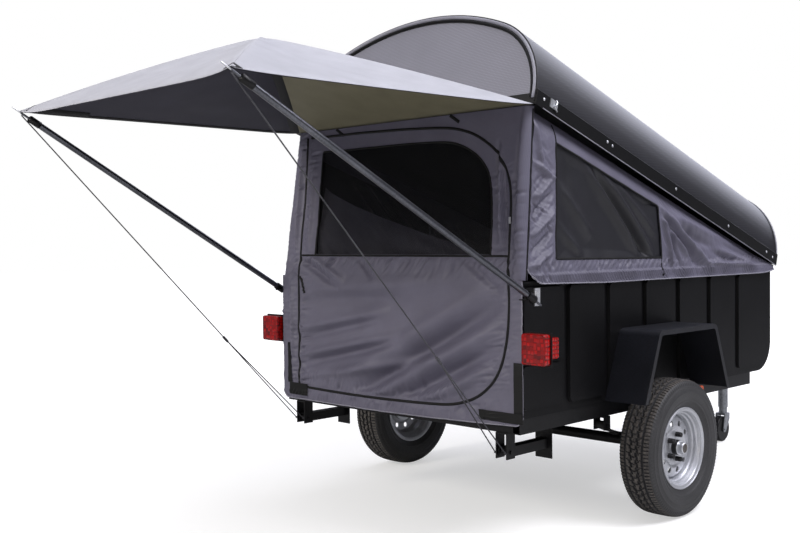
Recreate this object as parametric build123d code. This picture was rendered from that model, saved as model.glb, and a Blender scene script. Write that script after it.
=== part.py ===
from build123d import *
import os
from math import atan2, cos, hypot, radians, sin

os.makedirs("parts", exist_ok=True)

# Pop-up camper trailer: a moulded tub on a steel frame, an arched hard lid hinged at the front,
# fabric walls between tub and lid, and a rear awning on two poles.
# Millimetres. +X is the trailer's right side, +Y points to the coupler, +Z is up and the ground is Z = 0.
# The sizes are set out from the axle (Y = 0); the finished pieces are moved so that the origin is
# below the middle of the whole length.

# Clearances
RUNNING_GAP = 0.3
SOFT_GAP = 0.5
SIDE_PLAY = 1.0
CUT_MARGIN = 1.0

# Wheels and axle
TYRE_RADIUS = 305.0
TYRE_WIDTH = 172.0
TYRE_WALL = 11.0
TREAD_CROWN = 5.0
TREAD_SHOULDER = 18.0
TREAD_FLAT_SHARE = 0.4
# columns: share of the sidewall's height, distance inside its widest place
SIDEWALL_PLACES = ((0.22, 6.0), (0.48, 0.0), (0.76, 5.0))
RIM_FLANGE_RADIUS = 182.0
RIM_SEAT_RADIUS = 165.0
RIM_SEAT_HALF = 63.5
RIM_WELL_DEPTH = 19.0
RIM_SHEET = 4.0
RIM_LIP = 2.5
# columns: distance outwards from the rim's middle, depth below the bead seat
RIM_BARREL = (
    (-40.0, 2.0),
    (-28.0, 19.0),
    (8.0, 19.0),
    (24.0, 15.5),
    (29.0, 10.0),
    (41.0, 8.5),
    (46.0, 2.0),
)
# columns: distance inside the flange's face, height above the bead seat
RIM_FLANGE_ROLL = ((1.0, 9.0), (4.5, 1.5), (10.0, -2.5))
WHEEL_OUT = 100.0
DISC_OFFSET = 14.0
DISC_SHEET = 6.0
DISC_ROOT = 2.0
DISC_LAP = 2.0
DISC_FLARE = 4.0
DISC_RISE = 4.0
DISC_SHOULDER = 14.0
DISC_STEP = 26.0
STUD_CIRCLE_RADIUS = 57.15
STUD_COUNT = 5
STUD_HOLE_RADIUS = 7.0
STUD_FIRST_ANGLE = 71.0
VENT_COUNT = 10
VENT_RADIUS = 13.0
VENT_CIRCLE_RADIUS = 107.0
VENT_FIRST_ANGLE = 31.0
HUB_FLANGE_RADIUS = 72.0
HUB_FLANGE = 12.0
HUB_BARREL_RADIUS = 38.0
HUB_BARREL_LENGTH = 70.0
HUB_NOSE_RADIUS = 32.0
HUB_NOSE_LENGTH = 36.0
CAP_RADIUS = 26.0
CAP_LENGTH = 25.0
CAP_ROUND = 3.0
CAP_RIM = 5.0
CAP_RECESS = 4.0
SPINDLE_RADIUS = 16.0
SPINDLE_REACH = 8.0
SPINDLE_END_GAP = 2.0
AXLE_TUBE_RADIUS = 24.0
AXLE_END_GAP = 12.0
AXLE_PAD = 6.0
AXLE_PAD_LENGTH = 80.0

# Leaf springs and their hangers
SPRING_HALF = 330.0
SPRING_WIDTH = 44.0
LEAF_THICKNESS = 8.0
LEAF_LENGTH_SHARES = (1.0, 0.72, 0.45)
SPRING_CAMBER = 62.0
EYE_RADIUS = 17.0
EYE_BORE = 8.0
HANGER_PLATE = 5.0
HANGER_LENGTH = 46.0
HANGER_LAP = 4.0
HANGER_BOLT_END = 8.0

# Frame of rectangular steel tube
FRAME_RISE = 225.0
RAIL_WIDTH = 38.0
RAIL_HEIGHT = 62.0
RAIL_WALL = 4.0
RAIL_FRONT_SETBACK = 225.0
REAR_MEMBER_INSET = 22.0
FRONT_MEMBER_INSET = 37.0
TONGUE_WIDTH = 76.0
TONGUE_HEIGHT = 64.0
TONGUE_WALL = 5.0
COUPLER_NOSE_Y = 2310.0
COUPLER_LENGTH = 250.0
COUPLER_WALL = 5.0
COUPLER_NECK = 20.0
COUPLER_SLEEVE_LAP = 12.0
BALL_SOCKET_RADIUS = 26.0
BALL_SOCKET_DEPTH = 34.0
BALL_HOUSING_RADIUS = 37.0
LEVER_LENGTH = 150.0
LEVER_WIDTH = 18.0
LEVER_SHEET = 8.0
LEVER_RISE = 24.0
LEVER_POST = 26.0
LEVER_SETBACK = 20.0

# Moulded tub
TUB_HALF = 733.0
TUB_REAR_Y = -925.0
TUB_FRONT_Y = 1247.0
TUB_HEIGHT = 540.0
TUB_WALL = 6.0
FLOOR_THICKNESS = 8.0
FRONT_CORNER_RADIUS = 150.0
PANEL_RAISE = 15.0
FOOT_PANEL_RAISE = 9.0
PANEL_DRAFT = 14.0
PANEL_CORNER = 26.0
PANEL_CORNER_SHARE = 0.45
PANEL_BOTTOM_GAP = 32.0
PANEL_TOP_GAP = 20.0
FOOT_PANEL_HEIGHT = 176.0
FOOT_GROOVE = 11.0
GROOVE_WIDTH = 34.0
GROOVE_FIRST = 288.0
GROOVE_PITCH = 294.5
GROOVE_COUNT = 7
RIM_FLANGE_THICKNESS = 8.0
REAR_FLANGE_WIDTH = 43.0
FRONT_PANEL_COUNT = 4
FRONT_PANEL_RAISE = 10.0
FRONT_PANEL_MARGIN = 72.0
FRONT_PANEL_TOP_GAP = 70.0

# Fenders of folded sheet
FENDER_WIDTH = 199.0
FENDER_RISE = 315.0
FENDER_FOOT = 11.0
FENDER_TOP_HALF = 245.0
FENDER_BOTTOM_HALF = 366.0
FENDER_SHEET = 3.0
FENDER_LIP = 22.0
FENDER_BEND = 38.0

# Arched lid
LID_OPEN = 17.9
LID_END_OVERHANG = 30.0
LID_OVERHANG = 4.0
LID_APEX = 481.5
LID_CORNER_RADIUS = 392.0
LID_SIDE = 20.0
LID_SKIN = 6.0
LID_LIFT = 28.0
LID_RAIL_WIDTH = 6.0
LID_RAIL_HEIGHT = 64.0
LID_RAIL_DROP = 8.0
LID_BAND = 34.0
LID_BAND_DEPTH = 16.0
LID_PANEL = 8.0
LID_PANEL_INSET = 12.0
LID_REAR_BAR_HEIGHT = 40.0
HINGE_KNUCKLE_RADIUS = 8.0
HINGE_PLATE = 4.0
HINGE_LENGTH = 110.0
HINGE_SPACING = 480.0
HINGE_LEAF_HEIGHT = 46.0
HINGE_LIFT = 11.0

# Fabric walls
FABRIC = 4.0
WALL_HEM_DROP = 26.0
SIDE_WALL_LEAN = 2.2
SIDE_WALL_REAR_INSET = 4.0
SIDE_WALL_FRONT_HEIGHT = 14.0
SIDE_WINDOW_REAR_INSET = 226.0
SIDE_WINDOW_LENGTH = 800.0
SIDE_WINDOW_SILL = 78.0
SIDE_WINDOW_TOP_GAP = 105.0
REAR_WALL_INSET = 6.0
REAR_WALL_HEM_DROP = 18.0
REAR_WALL_BEND = 20.0
REAR_WINDOW_LEFT = 560.0
REAR_WINDOW_RIGHT = 545.0
REAR_WINDOW_SILL = 95.0
REAR_WINDOW_TOP_GAP = 95.0
REAR_WINDOW_CORNER = 210.0
WINDOW_MESH = 2.0

# Awning, poles and stays
AWNING_FAR_Y = -2275.0
AWNING_FAR_INSET = 40.0
AWNING_FAR_RISE = 687.0
AWNING_NEAR_INSET = 9.0
AWNING_PEAK_Y = -1612.0
AWNING_PEAK_RISE = 958.0
POLE_RADIUS = 12.5
POLE_FOOT_OUT = 39.0
POLE_FOOT_INSET = 18.0
POLE_FOOT_DROP = 70.0
POLE_TIP_RADIUS = 4.5
POLE_TIP_LENGTH = 46.0
POLE_HEAD_DROP = 13.3
SOCKET_WALL = 4.0
SOCKET_LENGTH = 46.0
SOCKET_PLATE = 4.0
STAY_RADIUS = 2.5
STAY_SLIDER_SHARE = 0.70
STAY_SLIDER_LENGTH = 34.0
STAY_SLIDER_RADIUS = 6.0
STAY_KNOT_RADIUS = 5.0

# Lamps and markers
LAMP_WIDTH = 114.0
LAMP_HEIGHT = 120.0
LAMP_DEPTH = 36.0
LAMP_CORNER = 10.0
LAMP_EDGE = 5.0
LAMP_OUT = 74.0
LAMP_RISE = 283.0
LAMP_PLATE = 4.0
LAMP_PLATE_MARGIN = 6.0
SIDE_LAMP_LENGTH = 72.0
SIDE_LAMP_HEIGHT = 84.0
SIDE_LAMP_DEPTH = 24.0
SIDE_LAMP_CORNER = 8.0
SIDE_LAMP_INSET = 160.0
SIDE_LAMP_RISE = 270.0
MARKER_LENGTH = 58.0
MARKER_HEIGHT = 26.0
MARKER_DEPTH = 16.0
MARKER_CORNER = 8.0
MARKER_Y = 470.0
MARKER_DROP = 28.0

# Latches
LATCH_WIDTH = 34.0
LATCH_HEIGHT = 70.0
LATCH_DEPTH = 12.0
LATCH_INSET = 83.0
LATCH_DROP = 62.0
CATCH_FROM_REAR = 110.0
CATCH_LENGTH = 48.0
CATCH_HEIGHT = 34.0
CATCH_RISE = 24.0
CATCH_DEPTH = 5.0
BAIL_INSET = 65.0
BAIL_DROP = 140.0
BAIL_HEIGHT = 70.0
BAIL_REACH = 62.0
BAIL_RADIUS = 3.5
BAIL_BEND = 10.5
BAIL_PLATE = 6.0
BAIL_PLATE_WIDTH = 38.0
BAIL_PLATE_MARGIN = 10.5

# Rear stabiliser legs, folded forward
STABILISER_INSET = 54.0
STABILISER_PIVOT_DROP = 80.0
STABILISER_LENGTH = 252.0
STABILISER_WIDTH = 46.0
STABILISER_HEIGHT = 40.0
STABILISER_ROUND = 18.0
STABILISER_SHEET = 5.0
STABILISER_PIN = 8.0
STABILISER_PIN_END = 6.0
STABILISER_FOOT_HEIGHT = 124.0
STABILISER_FOOT_WIDTH = 84.0
STABILISER_BRACKET_LENGTH = 52.0
STABILISER_BRACKET_LAP = 6.0

# Tongue jack with a castor
JACK_OUT = 152.0
JACK_SETBACK = 575.0
JACK_TUBE_RADIUS = 28.5
JACK_TUBE_WALL = 4.0
JACK_TUBE_RISE = 304.0
JACK_TUBE_BOTTOM_Z = 205.0
JACK_CAP = 8.0
JACK_LEG_ENGAGEMENT = 160.0
JACK_STUB_RADIUS = 24.0
JACK_STUB_GAP = 8.0
JACK_COLLAR_WALL = 6.0
JACK_COLLAR_GAP = 12.0
JACK_PLATE = 8.0
JACK_PLATE_LENGTH = 130.0
JACK_CRANK_REACH = 120.0
JACK_CRANK_RADIUS = 6.0
JACK_CRANK_RISE = 14.0
JACK_CRANK_BOSS = 9.0
JACK_GRIP_RADIUS = 13.0
JACK_GRIP_LENGTH = 80.0
CASTOR_RADIUS = 76.0
CASTOR_WIDTH = 44.0
CASTOR_ROUND = 9.0
CASTOR_TRAIL = 34.0
CASTOR_FORK_SHEET = 6.0
CASTOR_FORK_GAP = 6.0
CASTOR_FORK_BACK = 8.0
CASTOR_FORK_EYE = 18.0
CASTOR_FORK_NOSE = 36.0
CASTOR_AXLE_RADIUS = 8.0
CASTOR_AXLE_END = 5.0
CASTOR_CROWN = 12.0

# Heights that follow from the sizes above
AXLE_Z = TYRE_RADIUS
RAIL_TOP_Z = AXLE_Z + FRAME_RISE
RAIL_BOTTOM_Z = RAIL_TOP_Z - RAIL_HEIGHT
TUB_TOP_Z = RAIL_TOP_Z + TUB_HEIGHT
PANEL_BOTTOM_Z = RAIL_TOP_Z + PANEL_BOTTOM_GAP
FOOT_PANEL_TOP_Z = PANEL_BOTTOM_Z + FOOT_PANEL_HEIGHT
FRONT_PANEL_TOP_Z = TUB_TOP_Z - FRONT_PANEL_TOP_GAP
FENDER_TOP_Z = RAIL_TOP_Z + FENDER_RISE
FENDER_BOTTOM_Z = RAIL_TOP_Z + FENDER_FOOT
LID_BASE_Z = TUB_TOP_Z + LID_LIFT
HINGE_Z = TUB_TOP_Z + HINGE_LIFT
REAR_WALL_BOTTOM_Z = RAIL_TOP_Z - REAR_WALL_HEM_DROP
REAR_WALL_BEND_Z = TUB_TOP_Z + REAR_WALL_BEND
AWNING_FAR_Z = TUB_TOP_Z + AWNING_FAR_RISE
AWNING_PEAK_Z = TUB_TOP_Z + AWNING_PEAK_RISE
POLE_FOOT_Z = TUB_TOP_Z - POLE_FOOT_DROP
LAMP_Z = RAIL_TOP_Z + LAMP_RISE
SIDE_LAMP_Z = RAIL_TOP_Z + SIDE_LAMP_RISE
MARKER_Z = RAIL_TOP_Z - MARKER_DROP
LATCH_Z = TUB_TOP_Z - LATCH_DROP
BAIL_Z = TUB_TOP_Z - BAIL_DROP

# Places across the trailer
WALL_OUTER_X = TUB_HALF - PANEL_RAISE
WALL_INNER_X = WALL_OUTER_X - TUB_WALL
RAIL_OUTER_X = WALL_INNER_X
RAIL_INNER_X = RAIL_OUTER_X - RAIL_WIDTH
RAIL_CENTRE_X = RAIL_OUTER_X - RAIL_WIDTH / 2
WHEEL_X = TUB_HALF + WHEEL_OUT
FENDER_OUTER_X = TUB_HALF + FENDER_WIDTH
LID_OUTER_HALF = TUB_HALF + LID_OVERHANG
LID_HALF = LID_OUTER_HALF - LID_RAIL_WIDTH
AWNING_NEAR_HALF = LID_OUTER_HALF - AWNING_NEAR_INSET
AWNING_FAR_HALF = TUB_HALF - AWNING_FAR_INSET
REAR_WALL_HALF = TUB_HALF - REAR_WALL_INSET
FRONT_PANEL_SPAN = 2 * (WALL_INNER_X - FRONT_PANEL_MARGIN)
POLE_FOOT_X = TUB_HALF + POLE_FOOT_OUT
LAMP_X = TUB_HALF + LAMP_OUT
BAIL_X = TUB_HALF - BAIL_INSET
STABILISER_X = RAIL_INNER_X - STABILISER_INSET
JACK_X = TONGUE_WIDTH / 2 + JACK_OUT

# Places along the trailer
RAIL_REAR_Y = TUB_REAR_Y
RAIL_FRONT_Y = TUB_FRONT_Y - RAIL_FRONT_SETBACK
REAR_MEMBER_Y = RAIL_REAR_Y + REAR_MEMBER_INSET
FRONT_MEMBER_Y = RAIL_FRONT_Y - FRONT_MEMBER_INSET
GROOVE_FIRST_Y = TUB_REAR_Y + GROOVE_FIRST
LID_FRONT_Y = TUB_FRONT_Y + LID_END_OVERHANG
LID_REAR_Y = TUB_REAR_Y - LID_END_OVERHANG
HINGE_Y = TUB_FRONT_Y + HINGE_KNUCKLE_RADIUS + RUNNING_GAP
POLE_FOOT_Y = TUB_REAR_Y + POLE_FOOT_INSET
SIDE_LAMP_Y = TUB_REAR_Y + SIDE_LAMP_INSET
LATCH_Y = TUB_REAR_Y + LATCH_INSET
JACK_Y = COUPLER_NOSE_Y - JACK_SETBACK
Y_MIDDLE = (COUPLER_NOSE_Y + AWNING_FAR_Y) / 2


def save(name, *solids):
    """Write one node, moved from the axle to the origin below the middle of the length."""
    moved = [Pos(0, -Y_MIDDLE, 0) * solid for solid in solids]
    export_step(moved[0] if len(moved) == 1 else Compound(moved), f"parts/{name}.step")


def block(low, high):
    size = [b - a for a, b in zip(low, high)]
    middle = [(a + b) / 2 for a, b in zip(low, high)]
    return Pos(*middle) * Box(*size)


def rod(start, end, radius):
    direction = Vector(end) - Vector(start)
    plane = Plane(origin=Vector(start), z_dir=direction)
    return plane * Cylinder(radius, direction.length, align=(Align.CENTER, Align.CENTER, Align.MIN))


def mirrored(solid):
    return mirror(solid, about=Plane.YZ)


def side_prism(points, x_low, x_high):
    """A side-view outline of (Y, Z) points, drawn out across the trailer."""
    face = make_face(Plane.YZ * Polyline(*points, close=True))
    return Pos(x_low, 0, 0) * extrude(face, x_high - x_low, dir=(1, 0, 0))


def turned(points, centre):
    """An (X, radius) outline turned about the axle's line and moved to a wheel's middle."""
    face = make_face(Plane.XZ * Polyline(*points, close=True))
    return Pos(*centre) * revolve(face, axis=Axis.X)


def box_tube(low, high, wall, along):
    """A rectangular tube with open ends; along is the index of its long axis."""
    inner_low = [a if i == along else a + wall for i, a in enumerate(low)]
    inner_high = [b if i == along else b - wall for i, b in enumerate(high)]
    return block(low, high) - block(inner_low, inner_high)


def opened(solid):
    """Swing a piece of the lid from its closed place to its open one."""
    return Pos(0, HINGE_Y, HINGE_Z) * Rot(-LID_OPEN, 0, 0) * Pos(0, -HINGE_Y, -HINGE_Z) * solid


def opened_point(y, z):
    turn = radians(LID_OPEN)
    dy = y - HINGE_Y
    dz = z - HINGE_Z
    return HINGE_Y + dy * cos(turn) + dz * sin(turn), HINGE_Z - dy * sin(turn) + dz * cos(turn)


# Wheels: tyre, steel rim with a pierced disc, and hub with its dust cap

def tyre(centre):
    half = TYRE_WIDTH / 2
    bead = RIM_SEAT_HALF - RUNNING_GAP
    foot = RIM_SEAT_RADIUS + RUNNING_GAP
    height = TYRE_RADIUS - RIM_FLANGE_RADIUS
    outer = [(bead, foot), (bead, RIM_FLANGE_RADIUS + RUNNING_GAP)]
    outer += [(half - tuck, RIM_FLANGE_RADIUS + share * height) for share, tuck in SIDEWALL_PLACES]
    outer += [(half - TREAD_SHOULDER, TYRE_RADIUS - TREAD_CROWN), (TREAD_FLAT_SHARE * half, TYRE_RADIUS)]
    inner = [(x * (half - TYRE_WALL) / half, r - TYRE_WALL) for x, r in reversed(outer[2:])]
    section = outer + [(-x, r) for x, r in reversed(outer)]
    hollow = [(bead - TYRE_WALL, foot)] + list(reversed(inner))
    section += [(-x, r) for x, r in hollow] + [(x, r) for x, r in reversed(hollow)]
    return turned(section, centre)


def rim(centre, outward):
    """A stepped barrel with rolled flanges, and the pierced disc welded into its well."""
    well = RIM_SEAT_RADIUS - RIM_WELL_DEPTH
    flange_x = RIM_SEAT_HALF + RIM_SHEET
    turn = RIM_SHEET / 2
    barrel = [(x, RIM_SEAT_RADIUS - depth) for x, depth in RIM_BARREL]
    upper = [(-RIM_SEAT_HALF, RIM_FLANGE_RADIUS), (-RIM_SEAT_HALF, RIM_SEAT_RADIUS)] + barrel
    upper += [(RIM_SEAT_HALF, RIM_SEAT_RADIUS), (RIM_SEAT_HALF, RIM_FLANGE_RADIUS)]
    roll = [(flange_x - inside, RIM_SEAT_RADIUS + height) for inside, height in RIM_FLANGE_ROLL]
    rolled_lip = [(flange_x, RIM_FLANGE_RADIUS), (flange_x + RIM_LIP, RIM_FLANGE_RADIUS - RIM_SHEET)]
    lower = rolled_lip + roll
    lower += [(x + turn if x > 0 else x - turn, r - RIM_SHEET) for x, r in reversed(barrel)]
    lower += [(-x, r) for x, r in reversed(roll)] + [(-flange_x, RIM_FLANGE_RADIUS)]
    disc_top = well - turn
    face_x = DISC_OFFSET + DISC_SHEET
    ring_x = face_x + DISC_RISE
    flare_x = DISC_OFFSET + DISC_FLARE
    disc = [
        (DISC_ROOT, disc_top),
        (flare_x, disc_top - DISC_SHOULDER),
        (ring_x, VENT_CIRCLE_RADIUS - DISC_SHOULDER),
        (face_x, VENT_CIRCLE_RADIUS - DISC_STEP),
        (face_x, HUB_NOSE_RADIUS + RUNNING_GAP),
        (DISC_OFFSET, HUB_NOSE_RADIUS + RUNNING_GAP),
        (DISC_OFFSET, VENT_CIRCLE_RADIUS - DISC_STEP + DISC_LAP),
        (ring_x - DISC_SHEET, VENT_CIRCLE_RADIUS - DISC_SHOULDER + DISC_LAP),
        (flare_x - DISC_SHEET, disc_top - DISC_SHOULDER - DISC_LAP),
        (DISC_ROOT - DISC_SHEET, disc_top),
    ]
    side = [(x * outward, r) for x, r in disc]
    wheel = turned([(x * outward, r) for x, r in upper + lower], centre) + turned(side, centre)
    # columns: number of holes, circle they lie on, hole radius, angle of the first hole
    hole_rings = (
        (VENT_COUNT, VENT_CIRCLE_RADIUS, VENT_RADIUS, VENT_FIRST_ANGLE),
        (STUD_COUNT, STUD_CIRCLE_RADIUS, STUD_HOLE_RADIUS, STUD_FIRST_ANGLE),
    )
    for count, circle, radius, first in hole_rings:
        for i in range(count):
            angle = radians(first + 360 / count * i)
            at = (centre[0], centre[1] + circle * cos(angle), centre[2] + circle * sin(angle))
            wheel -= Plane(origin=at, z_dir=(1, 0, 0)) * Cylinder(radius, 2 * RIM_SEAT_HALF)
    return wheel


def hub(centre, outward):
    bore = SPINDLE_RADIUS + RUNNING_GAP
    back = DISC_OFFSET - HUB_BARREL_LENGTH
    shoulder = DISC_OFFSET + HUB_NOSE_LENGTH
    nose = shoulder + CAP_LENGTH
    recess_radius = CAP_RADIUS - CAP_RIM
    bore_end = DISC_OFFSET + SPINDLE_REACH + SPINDLE_END_GAP
    outline = [
        (back, bore),
        (back, HUB_BARREL_RADIUS),
        (DISC_OFFSET - HUB_FLANGE, HUB_BARREL_RADIUS),
        (DISC_OFFSET - HUB_FLANGE, HUB_FLANGE_RADIUS),
        (DISC_OFFSET, HUB_FLANGE_RADIUS),
        (DISC_OFFSET, HUB_NOSE_RADIUS),
        (shoulder, HUB_NOSE_RADIUS),
        (shoulder, CAP_RADIUS),
        (nose - CAP_ROUND, CAP_RADIUS),
        (nose, CAP_RADIUS - CAP_ROUND),
        (nose, recess_radius),
        (nose - CAP_RECESS, recess_radius),
        (nose - CAP_RECESS, 0),
        (bore_end, 0),
        (bore_end, bore),
    ]
    return turned([(x * outward, r) for x, r in outline], centre)


for side_name, outward in (("left", -1), ("right", 1)):
    wheel_centre = (outward * WHEEL_X, 0, AXLE_Z)
    save(f"tyre_{side_name}", tyre(wheel_centre))
    save(f"wheel_rim_{side_name}", rim(wheel_centre, outward))
    save(f"hub_{side_name}", hub(wheel_centre, outward))

# Axle beam with a spindle at each end
tube_end_x = WHEEL_X + DISC_OFFSET - HUB_BARREL_LENGTH - AXLE_END_GAP
spindle_end_x = WHEEL_X + DISC_OFFSET + SPINDLE_REACH
beam = rod((-tube_end_x, 0, AXLE_Z), (tube_end_x, 0, AXLE_Z), AXLE_TUBE_RADIUS)
beam += rod((-spindle_end_x, 0, AXLE_Z), (spindle_end_x, 0, AXLE_Z), SPINDLE_RADIUS)
spring_seat_z = AXLE_Z + AXLE_TUBE_RADIUS + AXLE_PAD
for outward in (-1, 1):
    seat_x = outward * RAIL_CENTRE_X
    beam += block(
        (seat_x - SPRING_WIDTH / 2, -AXLE_PAD_LENGTH / 2, AXLE_Z),
        (seat_x + SPRING_WIDTH / 2, AXLE_PAD_LENGTH / 2, spring_seat_z),
    )
save("axle_beam", beam)

# Leaf springs: concentric leaves, the longest on top with an eye at each end
arc_radius = (SPRING_HALF**2 + SPRING_CAMBER**2) / (2 * SPRING_CAMBER)
pack_height = LEAF_THICKNESS * len(LEAF_LENGTH_SHARES)
main_bottom_z = spring_seat_z + pack_height - LEAF_THICKNESS
arc_centre_z = main_bottom_z + arc_radius
eye_angle = atan2(SPRING_HALF, arc_radius - SPRING_CAMBER)
eye_z = arc_centre_z - (arc_radius - LEAF_THICKNESS / 2) * cos(eye_angle) + EYE_RADIUS - LEAF_THICKNESS / 2
eye_y = (arc_radius - LEAF_THICKNESS / 2) * sin(eye_angle)


def on_arc(radius, angle):
    return radius * sin(angle), arc_centre_z - radius * cos(angle)


def leaf(index, share):
    """One leaf in side view, between two concentric arcs."""
    outer = arc_radius + index * LEAF_THICKNESS
    inner = outer - LEAF_THICKNESS
    end = eye_angle * share
    low = ThreePointArc(on_arc(outer, -end), on_arc(outer, 0), on_arc(outer, end))
    high = ThreePointArc(on_arc(inner, end), on_arc(inner, 0), on_arc(inner, -end))
    edges = low + Line(on_arc(outer, end), on_arc(inner, end)) + high
    edges += Line(on_arc(inner, -end), on_arc(outer, -end))
    face = make_face(Plane.YZ * edges)
    return Pos(RAIL_CENTRE_X - SPRING_WIDTH / 2, 0, 0) * extrude(face, SPRING_WIDTH, dir=(1, 0, 0))


spring = leaf(0, LEAF_LENGTH_SHARES[0])
for index, share in enumerate(LEAF_LENGTH_SHARES[1:], start=1):
    spring += leaf(index, share)
spring_low_x = RAIL_CENTRE_X - SPRING_WIDTH / 2
spring_high_x = RAIL_CENTRE_X + SPRING_WIDTH / 2
for end_y in (-eye_y, eye_y):
    spring += rod((spring_low_x, end_y, eye_z), (spring_high_x, end_y, eye_z), EYE_RADIUS)
for end_y in (-eye_y, eye_y):
    eye_start = (spring_low_x - CUT_MARGIN, end_y, eye_z)
    eye_end = (spring_high_x + CUT_MARGIN, end_y, eye_z)
    spring -= rod(eye_start, eye_end, EYE_BORE + RUNNING_GAP)
save("leaf_springs", spring, mirrored(spring))

# Spring hangers: inverted channels under the rails, each with the bolt through a spring eye
hangers = []
for end_y in (-eye_y, eye_y):
    out_x = spring_high_x + SIDE_PLAY + HANGER_PLATE
    in_x = spring_low_x - SIDE_PLAY - HANGER_PLATE
    hanger = block(
        (in_x, end_y - HANGER_LENGTH / 2, eye_z - EYE_RADIUS - HANGER_LAP),
        (out_x, end_y + HANGER_LENGTH / 2, RAIL_BOTTOM_Z),
    )
    hanger -= block(
        (in_x + HANGER_PLATE, end_y - HANGER_LENGTH, 0),
        (out_x - HANGER_PLATE, end_y + HANGER_LENGTH, RAIL_BOTTOM_Z - HANGER_PLATE),
    )
    hanger += rod((in_x - HANGER_BOLT_END, end_y, eye_z), (out_x + HANGER_BOLT_END, end_y, eye_z), EYE_BORE)
    hangers += [hanger, mirrored(hanger)]
save("spring_hangers", *hangers)

# Frame: two side rails, cross members between them and the tongue below
rail = box_tube(
    (RAIL_INNER_X, RAIL_REAR_Y, RAIL_BOTTOM_Z), (RAIL_OUTER_X, RAIL_FRONT_Y, RAIL_TOP_Z), RAIL_WALL, 1
)
save("side_rails", rail, mirrored(rail))
MEMBER_PLACES = (REAR_MEMBER_Y, -eye_y, eye_y, FRONT_MEMBER_Y)
members = []
for member_y in MEMBER_PLACES:
    members.append(
        box_tube(
            (-RAIL_INNER_X, member_y - RAIL_WIDTH / 2, RAIL_BOTTOM_Z),
            (RAIL_INNER_X, member_y + RAIL_WIDTH / 2, RAIL_TOP_Z),
            RAIL_WALL,
            0,
        )
    )
save("cross_members", *members)
tongue_half = TONGUE_WIDTH / 2
tongue_bottom_z = RAIL_BOTTOM_Z - TONGUE_HEIGHT
tongue_rear_y = eye_y - RAIL_WIDTH / 2
ball_y = COUPLER_NOSE_Y - BALL_HOUSING_RADIUS
tongue_front_y = ball_y - BALL_HOUSING_RADIUS - COUPLER_NECK
save(
    "tongue",
    box_tube(
        (-tongue_half, tongue_rear_y, tongue_bottom_z),
        (tongue_half, tongue_front_y, RAIL_BOTTOM_Z),
        TONGUE_WALL,
        1,
    ),
)

# Coupler: a pressed sleeve over the tongue that runs out to the ball housing
coupler_half = tongue_half + COUPLER_WALL
coupler_rear_y = COUPLER_NOSE_Y - COUPLER_LENGTH
coupler_top_z = RAIL_BOTTOM_Z + COUPLER_WALL
sleeve_end_y = tongue_front_y + COUPLER_SLEEVE_LAP
plan = make_face(
    Polyline(
        (-coupler_half, coupler_rear_y),
        (coupler_half, coupler_rear_y),
        (coupler_half, sleeve_end_y),
        (BALL_HOUSING_RADIUS, ball_y),
        (-BALL_HOUSING_RADIUS, ball_y),
        (-coupler_half, sleeve_end_y),
        close=True,
    )
)
coupler = Pos(0, 0, tongue_bottom_z) * extrude(plan, coupler_top_z - tongue_bottom_z, dir=(0, 0, 1))
coupler += rod((0, ball_y, tongue_bottom_z), (0, ball_y, coupler_top_z), BALL_HOUSING_RADIUS)
cut_z = tongue_bottom_z - CUT_MARGIN
coupler -= block(
    (-tongue_half, coupler_rear_y - CUT_MARGIN, cut_z), (tongue_half, tongue_front_y, RAIL_BOTTOM_Z)
)
coupler -= rod((0, ball_y, cut_z), (0, ball_y, tongue_bottom_z + BALL_SOCKET_DEPTH), BALL_SOCKET_RADIUS)
save("coupler", coupler)
lever_half = LEVER_WIDTH / 2
lever_root_y = ball_y - LEVER_SETBACK
lever_low_z = coupler_top_z + LEVER_RISE
lever = block(
    (-lever_half, lever_root_y - LEVER_LENGTH, lever_low_z),
    (lever_half, lever_root_y, lever_low_z + LEVER_SHEET),
)
lever += block(
    (-lever_half, lever_root_y - LEVER_POST, coupler_top_z), (lever_half, lever_root_y, lever_low_z)
)
save("coupler_latch", lever)

# Tub floor on the rails
floor_rear_y = TUB_REAR_Y + TUB_WALL
floor_front_y = TUB_FRONT_Y - FRONT_CORNER_RADIUS
floor_top_z = RAIL_TOP_Z + FLOOR_THICKNESS
floor = block((-WALL_INNER_X, floor_rear_y, RAIL_TOP_Z), (WALL_INNER_X, floor_front_y, floor_top_z))
save("tub_floor", floor)


def tray(plane, width, height, raise_by, wall):
    """A raised moulded panel, hollow behind: its outer block and the hollow to cut from the back."""
    corner = min(PANEL_CORNER, PANEL_CORNER_SHARE * width)
    outer = extrude(plane * RectangleRounded(width, height, corner), raise_by, taper=PANEL_DRAFT)
    inset = 2 * wall
    inner_face = plane.offset(-wall) * RectangleRounded(width - inset, height - inset, corner - wall)
    return outer, extrude(inner_face, raise_by, taper=PANEL_DRAFT)


# Tub sides: a sheet with a round front corner, raised panels between narrow grooves, and flanges
groove_centres = [GROOVE_FIRST_Y + GROOVE_PITCH * i for i in range(GROOVE_COUNT)]
panel_ends = [TUB_REAR_Y] + [y + GROOVE_WIDTH / 2 for y in groove_centres[:-1]]
panel_starts = [y - GROOVE_WIDTH / 2 for y in groove_centres]
panel_top_z = TUB_TOP_Z - PANEL_TOP_GAP
corner_z = RAIL_TOP_Z + FRONT_CORNER_RADIUS
diagonal = FRONT_CORNER_RADIUS * cos(radians(45))
outline = Polyline(
    (floor_front_y, RAIL_TOP_Z),
    (TUB_REAR_Y, RAIL_TOP_Z),
    (TUB_REAR_Y, TUB_TOP_Z),
    (TUB_FRONT_Y, TUB_TOP_Z),
    (TUB_FRONT_Y, corner_z),
)
outline += ThreePointArc(
    (TUB_FRONT_Y, corner_z), (floor_front_y + diagonal, corner_z - diagonal), (floor_front_y, RAIL_TOP_Z)
)
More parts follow.
